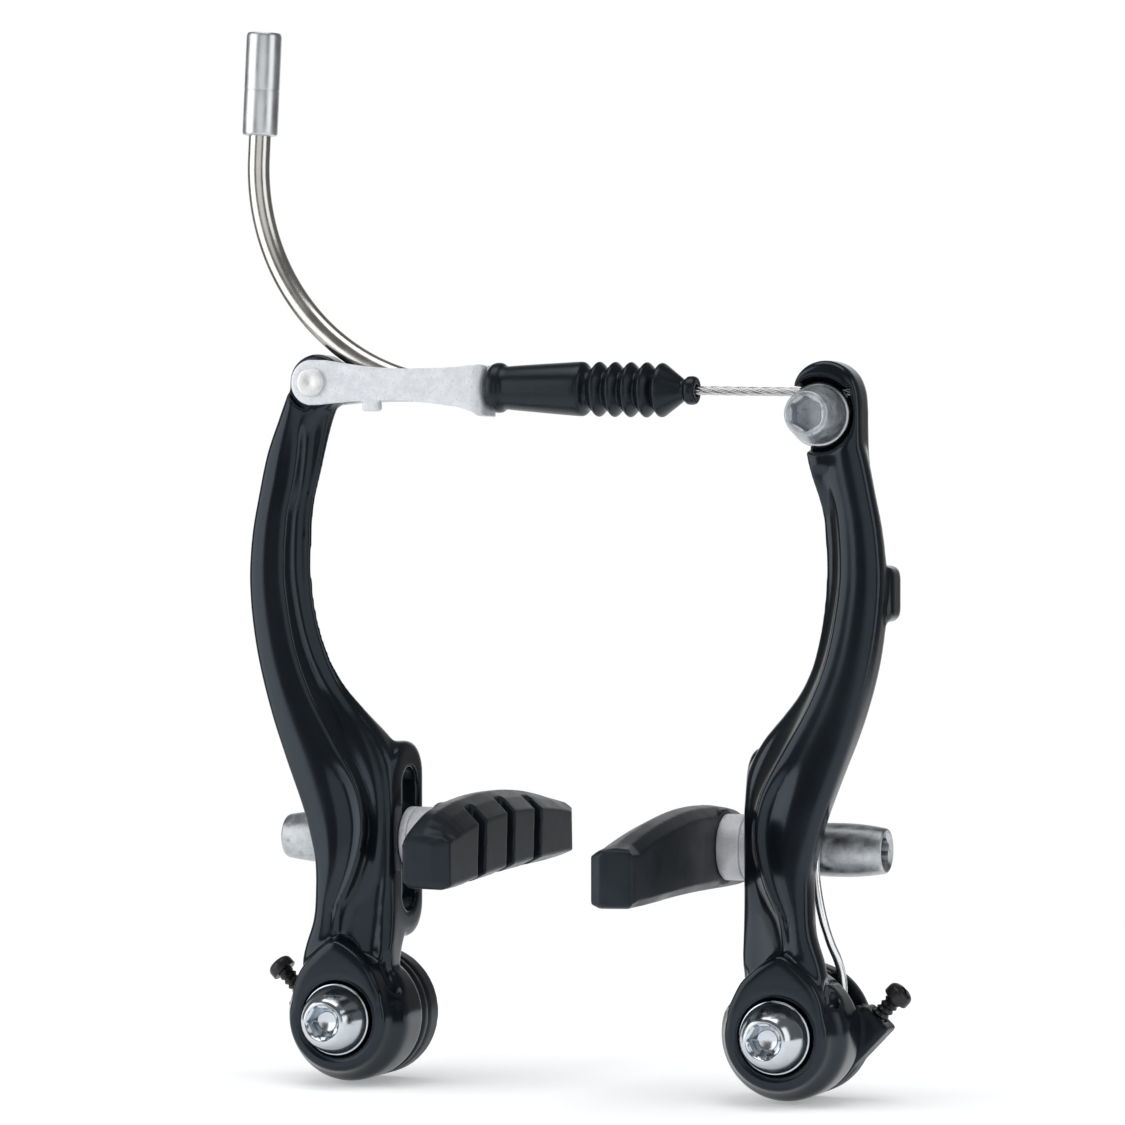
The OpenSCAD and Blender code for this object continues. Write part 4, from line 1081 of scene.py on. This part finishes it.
# %% Studs, washers and nuts
for side, sign in SIDES:
    zero = stud_place(0, sign)
    stud_rows = np.vstack(
        [
            [[0, 22.5], [3, 22.5], [3, 23.3], [5, 23.35], [5, 24.75], [3, 24.8], [3, 26.6]],
            threaded(3.0, 26.8, 48.4, 1.0), [[2.5, 48.7], [0, 48.7]],
        ]
    )
    stud = crisp(turn(f"{side}_stud_bar", stud_rows, zero, 48, thread=(26.7, 48.6, 1.0, 0.5)), 50)
    fit_out(stud, turned_steel, f"{side}_pad", f"{side}_pad_stud", slot="stud_steel")

    clamp = f"{side}_pad_clamp"
    thin = rounded([[3.05, 30.62], [5.65, 30.62], [5.65, 31.95], [3.05, 31.95]], 0.22, 4, True)
    fit_out(crisp(turn(f"{side}_thin_washer", thin, zero, 80, hollow=True)), frosted, clamp,
            f"{side}_inner_cup_washer", slot="washer_aluminium")
    spacer = rounded([[3.05, 26.52], [5.65, 26.52], [5.65, 30.58], [3.05, 30.58]], 0.35, 4, True)
    fit_out(crisp(turn(f"{side}_spacer", spacer, zero, 80, hollow=True)), frosted, clamp,
            f"{side}_inner_dome_spacer", slot="washer_aluminium")
    ball = 44.55  # centre of the ball on which the two outer washers tilt
    sweep = np.linspace(5.55, 3.3, 8)
    bowl = np.column_stack([sweep, ball - np.sqrt(64 - sweep**2)])
    cup = np.vstack([[[3.05, 35.6], [5.7, 35.56], [5.9, 35.75], [5.9, 38.0], [5.8, 38.12]], bowl, [[3.05, 37.0]]])
    fit_out(crisp(turn(f"{side}_cupped_washer", cup, zero, 80, hollow=True)), frosted, clamp,
            f"{side}_outer_cup_washer", slot="washer_aluminium")
    sweep = np.linspace(3.1, 4.5, 7)
    dome = np.column_stack([sweep, ball - np.sqrt(7.95**2 - sweep**2)])
    cap = np.vstack([dome, [[4.6, 38.5], [5.45, 38.55], [5.6, 38.7], [5.6, 40.9], [5.4, 41.12], [3.05, 41.12]]])
    fit_out(crisp(turn(f"{side}_domed_washer", cap, zero, 80, hollow=True)), frosted, clamp,
            f"{side}_outer_dome_washer", slot="washer_aluminium")
    outer = bowed([[4.4, 42.9], [4.52, 44.5], [4.55, 47.5], [4.45, 50.2], [4.2, 52.6], [3.86, 54.85]], 5)
    rows = np.vstack(
        [
            [[0, 49.2], [3.05, 49.2], [3.05, 41.15], [4.85, 41.15], [5.0, 41.3], [5.0, 42.2], [4.8, 42.45]],
            outer,
            [[3.74, 55.1], [3.6, 55.2], [3.42, 55.2], [3.2, 55.0], [2.7, 54.7], [2.6, 54.6],
             [2.6, 50.8], [2.3, 50.7], [0, 50.4]],
        ]
    )
    n = len(rows)
    nut = turn(f"{side}_long_nut", rows, zero, 96,
               {n - 5: (0.8, 5.1), n - 4: (1, 5), n - 3: (1, 5), n - 2: (0.6, 5)}, 0.3)
    fit_out(crisp(nut), cast_zinc, clamp, f"{side}_barrel_nut", slot="nut_zinc")

# %% [markdown]
# ## Cable anchor
# The cable passes over the shank of this bolt and under the washer's edge. The head is a
# truncated cone with a socket, and it is plated dull.

# %% Anchor bolt and washer
head = -3.6  # front of the head
rows = np.vstack(
    [
        [[0, head + 3.2], [2.45, head + 3.1], [2.6, head + 3.0], [2.6, head + 0.4], [2.66, head + 0.3], [2.95, head + 0.04]],
        rounded([[3.05, head], [3.75, head], [4.55, head + 3.4], [4.9, head + 5.4], [4.9, head + 7.0], [3, head + 7.0]],
                [0, 0.55, 1.2, 0.8, 0.3, 0], 6),
        threaded(3.0, head + 7.3, 10.0, 1.0),
        [[2.5, 10.3], [0, 10.3]],
    ]
)
anchor_head = turn(
    "anchor_head", rows, anchor, 96,
    {1: (1, 4.9), 2: (1, 5), 3: (1, 5), 4: (0.85, 5.15), 5: (0.1, 5.4)}, 0.0, (head + 7.2, 10.1, 1.0, 0.5),
)
fit_out(crisp(anchor_head, 30), dull_plate, "right_arm", "anchor_bolt", slot="anchor_steel")
rows = rounded([[3.15, 3.42], [5.5, 3.42], [5.5, 5.28], [3.15, 5.28]], [0.2, 0.7, 0.25, 0.2], 6, True)
flat_ring = crisp(turn("anchor_ring", rows, anchor, 96, hollow=True))
fit_out(flat_ring, washer_plate, "right_arm", "anchor_washer", slot="anchor_steel")

# %% [markdown]
# ## The curved cable guide
# Riders call it the noodle: a bent steel tube with a formed tip that hooks in the link and a
# ferrule for the cable housing. The path runs straight, bends through 91.4 degrees at a
# radius of 38.6 mm, and ends straight.

# %% Path of the noodle
BEND_R, BEND_X = 38.6, 19.7
bend = math.radians(90 + 2.8 - 1.4)


def noodle_path(start, rise, step=0.6):
    """Points from `start` on the cable's line, round the bend, to `rise` above its end."""
    low = np.linspace(start, -BEND_X, max(3, int(abs(start + BEND_X) / step)))[:-1]
    q = np.linspace(0, bend, 90)
    end_x, end_z = -BEND_X - BEND_R * math.sin(bend), BEND_R * (1 - math.cos(bend))
    up = np.linspace(0, rise, max(3, int(rise / step)))[1:]
    flat = np.column_stack([low, 0 * low, 0 * low])
    arc = np.column_stack([-BEND_X - BEND_R * np.sin(q), 0 * q, BEND_R * (1 - np.cos(q))])
    last = np.column_stack([end_x - np.cos(bend) * up, 0 * up, end_z + np.sin(bend) * up])
    # The cable's line has its first direction along it and its second one upwards
    path = np.vstack([flat, arc, last])
    return cable_line.put(np.column_stack([path[:, 0], path[:, 2], path[:, 1]]))


route = noodle_path(-10.25, 8.8)
away = np.concatenate([[0], np.cumsum(np.linalg.norm(np.diff(route, axis=0), axis=1))])
tip = np.interp(away, [0, 0.5, 1.4, 6.1, 6.6], [1.5, 2.0, 2.4, 2.4, 1.95])
tube = crisp(swept("noodle_bar", route, tip, 40))
fit_out(tube, noodle_steel, "noodle", "noodle_tube", slot="noodle_steel")

base, beyond = noodle_path(-BEND_X - 1, 4.0)[-1], noodle_path(-BEND_X - 1, 5.0)[-1]
ferrule_place = Place(base, beyond - base, [0, -1, 0])
rows = np.vstack(
    [
        [[1.3, 0.35], [1.95, 0.0], [2.6, 0.0], [2.95, 0.15], [3.1, 0.5], [3.1, 7.7], [3.04, 7.9], [3.1, 8.1]],
        [[3.1, 17.3], [3.02, 17.7], [2.86, 17.95], [2.7, 18.0], [2.58, 17.85], [2.55, 17.6], [2.55, 6.3]],
        [[2.3, 6.1], [1.3, 6.0]],
    ]
)
ferrule = crisp(turn("ferrule_shell", rows, ferrule_place, 80, hollow=True), 30)
fit_out(ferrule, ferrule_alu, "noodle", "noodle_ferrule", slot="ferrule_aluminium")

# %% [markdown]
# ## Cable and boot
# The cable is a strand of six wires round a straight one, each a helix. The rubber boot
# keeps dirt off it, and its bellows shorten when the brake closes. Both ride with the
# noodle's body, and each gets a mesh of its own.

# %% The cable
def strand(name, path, lay, wires, outer=CABLE_R, sides=8):
    """Wires wound round a path: each is a circle of its own radius whose centre runs at a
    fixed distance from the path and turns once in every `lay` millimetres."""
    path = np.asarray(path, float)
    away = np.concatenate([[0], np.cumsum(np.linalg.norm(np.diff(path, axis=0), axis=1))])
    share = math.sin(math.pi / wires)
    wire_r = outer * share / (1 + share)
    ahead = unit(np.gradient(path, axis=0))
    first = unit(np.cross(ahead, [0, 1, 0]))
    second = np.cross(ahead, first)
    points, faces, start = [], [], 0
    angle = np.linspace(0, 2 * math.pi, sides, endpoint=False)
    cos, sin = np.cos(angle)[None, :, None], np.sin(angle)[None, :, None]
    for wire in range(wires + 1):
        turn_by = 2 * math.pi * (away / lay + wire / wires)
        off = 0 if wire == wires else outer - wire_r
        size = (outer - 2 * wire_r) * 1.05 if wire == wires else wire_r * 1.04
        centre = path + off * (np.cos(turn_by)[:, None] * first + np.sin(turn_by)[:, None] * second)
        rings = centre[:, None] + size * (cos * first[:, None] + sin * second[:, None])
        p, f = skin(rings)
        points.append(p)
        faces += [[start + v for v in face] for face in f]
        start += len(p)
    return mesh_object(name, np.vstack(points), faces)


free = cable_line.put(np.column_stack([np.linspace(-10, 51.55, 330), np.zeros(330), np.zeros(330)]))
cable = crisp(strand("free_cable", free, 14.0, 6), 80)
fit_out(cable, cable_wire, "noodle", "brake_cable", slot="cable_steel")
hidden = swept("cable_in_noodle", noodle_path(-10, 9.6), CABLE_R, 12)
fit_out(hidden, cable_wire, "noodle", "brake_cable", slot="cable_steel")

# %% The boot
ridges = np.vstack(
    [
        [[3.35, 18.45 + 2.87 * k], [4.3, 19.3 + 2.87 * k], [4.7, 19.72 + 2.87 * k],
         [4.7, 20.02 + 2.87 * k], [4.3, 20.45 + 2.87 * k]]
        for k in range(4)
    ]
)
outer = np.vstack(
    [
        rounded([[2.45, 0], [3.7, 0.05], [4.3, 0.75], [4.32, 2.0], [3.78, 2.65], [3.72, 3.2], [3.82, 4.4]],
                [0, 0.4, 0.5, 0.5, 0.3, 0.3, 0], 5),
        bowed([[3.86, 4.8], [4.1, 8], [4.38, 12], [4.62, 15.6]], 4),
        rounded([[4.64, 16.0], [4.68, 17.0], [4.3, 17.45], [3.5, 17.95]], [0, 0.5, 0.4, 0], 4),
        rounded(ridges, 0.3, 4),
        rounded([[3.35, 29.95], [4.62, 31.0], [4.6, 31.5], [2.3, 34.6], [1.9, 35.1], [2.0, 35.5], [2.42, 35.95],
                 [2.45, 36.9], [2.2, 37.5], [1.1, 37.5], [1.1, 36.0], [1.0, 20], [2.45, 16]],
                [0, 0.35, 0.3, 0.5, 0.3, 0.3, 0.3, 0.3, 0.3, 0.2, 0, 0, 0], 5),
    ]
)
boot = crisp(turn("bellows_boot", outer, Place(cable_line.put([-13.3, 0, 0]), cable_line.a, cable_line.b), 96,
                  hollow=True), 50)
fit_out(boot, boot_rubber, "noodle", "cable_boot", slot="boot_rubber")

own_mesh(boot)
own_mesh(cable)

# %% [markdown]
# ## The link
# The link is one strip of sheet, folded twice into a U. Two side plates run to the rivet and
# the end wall holds the noodle's tip in a keyhole. It is made here as that fold: a U of
# sheet seen from above, cut to the side outline.

# %% Folded link
# Depths of the two plates' outer faces, the sheet's thickness, the end wall's X
FRONT, BACK, SHEET, END_X = 1.9, 10.3, 1.2, 13.6
quarter = np.linspace(0, math.pi / 2, 9)


def corner(cx, cy, r, start):
    """Quarter circle of radius r about a centre, from a starting angle."""
    return [[cx + r * math.cos(start + q), cy + r * math.sin(start + q)] for q in quarter]


bend_r = 1.9
outer_u = corner(-END_X - bend_r, FRONT + bend_r, bend_r, -math.pi / 2) + corner(
    -END_X - bend_r, BACK - bend_r, bend_r, 0
)
inner_r = bend_r - SHEET
inner_u = (
    [[-50.5, BACK], [-50.5, BACK - SHEET]]
    + corner(-END_X - bend_r, BACK - bend_r, inner_r, 0)[::-1]
    + corner(-END_X - bend_r, FRONT + bend_r, inner_r, -math.pi / 2)[::-1]
    + [[-50.5, FRONT + SHEET], [-50.5, FRONT]]
)
fold_outline = np.array(outer_u + inner_u)
fold = slab(fold_outline, [(-12, 0), (12, 0)], Place([0, -STACK, RIVET_Z], [0, 0, 1], [1, 0, 0], [0, 1, 0]), 0.0)
span = RIVET_X - END_X
eye_turn = np.radians(np.linspace(100, 262, 22))
eye = [[4 * math.cos(q), 4 * math.sin(q)] for q in eye_turn]
side_outline = np.array(
    eye
    + bowed([[1.6, -3.9], [4.8, -3.6], [9, -3.35], [16, -3.35], [22, -3.8], [27.5, -4.6], [30.0, -5.4]], 4).tolist()
    + [[30.9, -6.1], [span + 1, -6.3], [span + 1, 2.6]]
    + bowed([[30.8, 2.75], [26, 2.3], [19, 2.2], [12, 2.5], [6.5, 3.2], [2.5, 3.85]], 4).tolist()
)
profile = slab(side_outline, [(0, 0), (13, 0)], depth_place(-RIVET_X, RIVET_Z), 0.0)
step = fold.modifiers.new("outline", "BOOLEAN")
step.operation = "INTERSECT"
step.solver = "EXACT"
step.object = profile
settle(fold)
bpy.data.objects.remove(profile)
tab = slab(
    rounded([[9.4, -5.1], [12.4, -5.1], [12.4, -3.2], [9.4, -3.2]], 0.4, 4, True), rim(FRONT + 0.4, FRONT + 2.6, 0.3),
    depth_place(-RIVET_X, RIVET_Z), 0.0,
)
keyhole = [
    rod(2.45, -END_X - 2.2, -END_X + 1, cable_line, 40),
    slab([[0, -1.1], [8, -1.1], [8, 1.1], [0, 1.1]], [(-END_X - 2.2, 0), (-END_X + 1, 0)], cable_line, 0.0),
]
link = cast("folded_link", [fold, tab], 0.2, 3, tools=keyhole)
fit_out(link, sheet_zinc, "holder", "noodle_holder", slot="holder_zinc")

rivet_place = depth_place(RIVET_X, RIVET_Z, -1)
front_head = [[0, FRONT - 0.74], [0.5, FRONT - 0.75], [0.8, FRONT - 0.82], [1.5, FRONT - 0.83]]
rows = np.vstack(
    [
        front_head,
        rounded([[1.9, FRONT - 0.83], [2.5, FRONT - 0.78], [2.5, FRONT - 0.02], [2, FRONT]], [0, 0.3, 0.15, 0], 6),
        [[2, BACK]],
        rounded([[2, BACK + 0.02], [2.5, BACK + 0.05], [2.4, BACK + 0.6], [1.4, BACK + 0.95], [0, BACK + 1]],
                [0, 0.1, 0.3, 0.5, 0], 5),
    ]
)
pin = crisp(turn("link_rivet", rows, rivet_place, 72))
fit_out(pin, rivet_plate, "holder", "holder_rivet", slot="rivet_steel")

# %% Finish of the CAD piece that stays
liner = bpy.data.objects["noodle_liner"]
liner.data.materials.clear()
liner.data.materials.append(liner_nylon)

# %% [markdown]
# ## The floor and the light
# A pale floor and a white surround. The camera, and reflections in metal, see the surround
# as white. Two large soft lamps stand on either side and one hangs above. Shiny metal and
# black paint mirror a studio too: a white backdrop, a pale wall behind the camera, and dim
# sides, which give the deep darks between the bright bands.

# %% Floor
floor_z = cad_box[0][2] / MM - 0.5
corners = [[600 * a, 600 * b, floor_z] for a, b in ((-1, -1), (1, -1), (1, 1), (-1, 1))]
floor = mesh_object("floor", corners, [[0, 1, 2, 3]])
floor_mat = bpy.data.materials.new("pale_floor")
floor_mat.use_nodes = True
tree = floor_mat.node_tree
matt = tree.nodes["Principled BSDF"]
matt.inputs["Base Color"].default_value = (0.92, 0.92, 0.92, 1)
matt.inputs["Roughness"].default_value = 0.95
matt.inputs["Specular IOR Level"].default_value = 0.0
# The floor fades out away from the brake and is clear from below
where = tree.nodes.new("ShaderNodeTexCoord")
away = tree.nodes.new("ShaderNodeVectorMath")
away.operation = "LENGTH"
tree.links.new(where.outputs["Object"], away.inputs[0])
thin = tree.nodes.new("ShaderNodeMapRange")
thin.interpolation_type = "SMOOTHSTEP"
thin.inputs["From Min"].default_value = 0.16
thin.inputs["From Max"].default_value = 0.42
tree.links.new(away.outputs["Value"], thin.inputs["Value"])
surface = tree.nodes.new("ShaderNodeNewGeometry")
gone = tree.nodes.new("ShaderNodeMath")
gone.operation = "MAXIMUM"
tree.links.new(thin.outputs["Result"], gone.inputs[0])
tree.links.new(surface.outputs["Backfacing"], gone.inputs[1])
clear = tree.nodes.new("ShaderNodeBsdfTransparent")
mixed = tree.nodes.new("ShaderNodeMixShader")
tree.links.new(gone.outputs[0], mixed.inputs[0])
tree.links.new(matt.outputs[0], mixed.inputs[1])
tree.links.new(clear.outputs[0], mixed.inputs[2])
tree.links.new(mixed.outputs[0], tree.nodes["Material Output"].inputs["Surface"])
# What the camera and shiny metal see of the floor is lifted towards the white surround
rays = tree.nodes.new("ShaderNodeLightPath")
seen = tree.nodes.new("ShaderNodeMath")
seen.operation = "MAXIMUM"
tree.links.new(rays.outputs["Is Camera Ray"], seen.inputs[0])
tree.links.new(rays.outputs["Is Glossy Ray"], seen.inputs[1])
lift = tree.nodes.new("ShaderNodeMath")
lift.operation = "MULTIPLY"
lift.inputs[1].default_value = 0.30
tree.links.new(seen.outputs[0], lift.inputs[0])
tree.links.new(lift.outputs[0], matt.inputs["Emission Strength"])
matt.inputs["Emission Color"].default_value = (1, 1, 1, 1)
floor.data.materials.append(floor_mat)

# %% World and lamps
scene = bpy.context.scene
scene.view_settings.view_transform = "Standard"
world = bpy.data.worlds.new("surround")
scene.world = world
world.use_nodes = True
tree = world.node_tree
tree.nodes.clear()
rays = tree.nodes.new("ShaderNodeLightPath")


def either(a, b):
    """The larger of two values."""
    node = tree.nodes.new("ShaderNodeMath")
    node.operation = "MAXIMUM"
    tree.links.new(a, node.inputs[0])
    tree.links.new(b, node.inputs[1])
    return node.outputs[0]


seen = either(rays.outputs["Is Camera Ray"], rays.outputs["Is Glossy Ray"])
seen = either(seen, rays.outputs["Is Transmission Ray"])
white = tree.nodes.new("ShaderNodeBackground")
white.inputs["Color"].default_value = (1, 1, 1, 1)
white.inputs["Strength"].default_value = 1.0
soft = tree.nodes.new("ShaderNodeBackground")
soft.inputs["Color"].default_value = (0.95, 0.97, 1.0, 1)
soft.inputs["Strength"].default_value = 0.5
both = tree.nodes.new("ShaderNodeMixShader")
tree.links.new(seen, both.inputs[0])
tree.links.new(soft.outputs[0], both.inputs[1])
tree.links.new(white.outputs[0], both.inputs[2])
end = tree.nodes.new("ShaderNodeOutputWorld")
tree.links.new(both.outputs[0], end.inputs[0])

where = tree.nodes.new("ShaderNodeTexCoord")


def patch(azimuth, outer, inner, level, ground=0.0):
    """A round bright part of the studio: `level` within `inner` degrees of a level direction
    that lies `azimuth` degrees from the front, `ground` beyond `outer`, smooth between."""
    a = math.radians(azimuth)
    facing = tree.nodes.new("ShaderNodeVectorMath")
    facing.operation = "DOT_PRODUCT"
    tree.links.new(where.outputs["Generated"], facing.inputs[0])
    facing.inputs[1].default_value = (math.sin(a), -math.cos(a), 0)
    step = tree.nodes.new("ShaderNodeMapRange")
    step.interpolation_type = "SMOOTHSTEP"
    step.inputs["From Min"].default_value = math.cos(math.radians(outer))
    step.inputs["From Max"].default_value = math.cos(math.radians(inner))
    step.inputs["To Min"].default_value = ground
    step.inputs["To Max"].default_value = level
    tree.links.new(facing.outputs["Value"], step.inputs["Value"])
    return step.outputs["Result"]


# The white backdrop, the pale wall behind the camera, and dim sides between them
studio = either(patch(201, 40, 22, 1.0, 0.13), patch(21, 32, 18, 0.85))
tree.links.new(either(studio, rays.outputs["Is Camera Ray"]), white.inputs["Strength"])


def lamp(name, at, target, size, radiance):
    """A rectangular soft lamp at a point in metres, facing another. Its power follows from
    the radiance of its face: watts = radiance x pi x area."""
    data = bpy.data.lights.new(name, "AREA")
    data.shape = "RECTANGLE"
    data.size, data.size_y = size
    data.energy = radiance * math.pi * size[0] * size[1]
    obj = bpy.data.objects.new(name, data)
    scene.collection.objects.link(obj)
    behind = unit(np.array(at, float) - np.array(target, float))
    across = unit(np.cross([0, 0, 1], behind))
    pose = np.eye(4)
    pose[:3, :3] = np.stack([across, np.cross(behind, across), behind], 1)
    pose[:3, 3] = at
    obj.matrix_world = mathutils.Matrix(pose.tolist())
    return obj


middle = (0, 0, 0.08)
lamp("left_softbox", (-0.66, -0.50, 0.2), middle, (0.8, 0.9), 1.7)
lamp("right_softbox", (0.80, -0.14, 0.18), middle, (0.5, 0.9), 1.3)
lamp("top_softbox", (0.0, -0.12, 0.85), middle, (0.8, 0.5), 2.0)
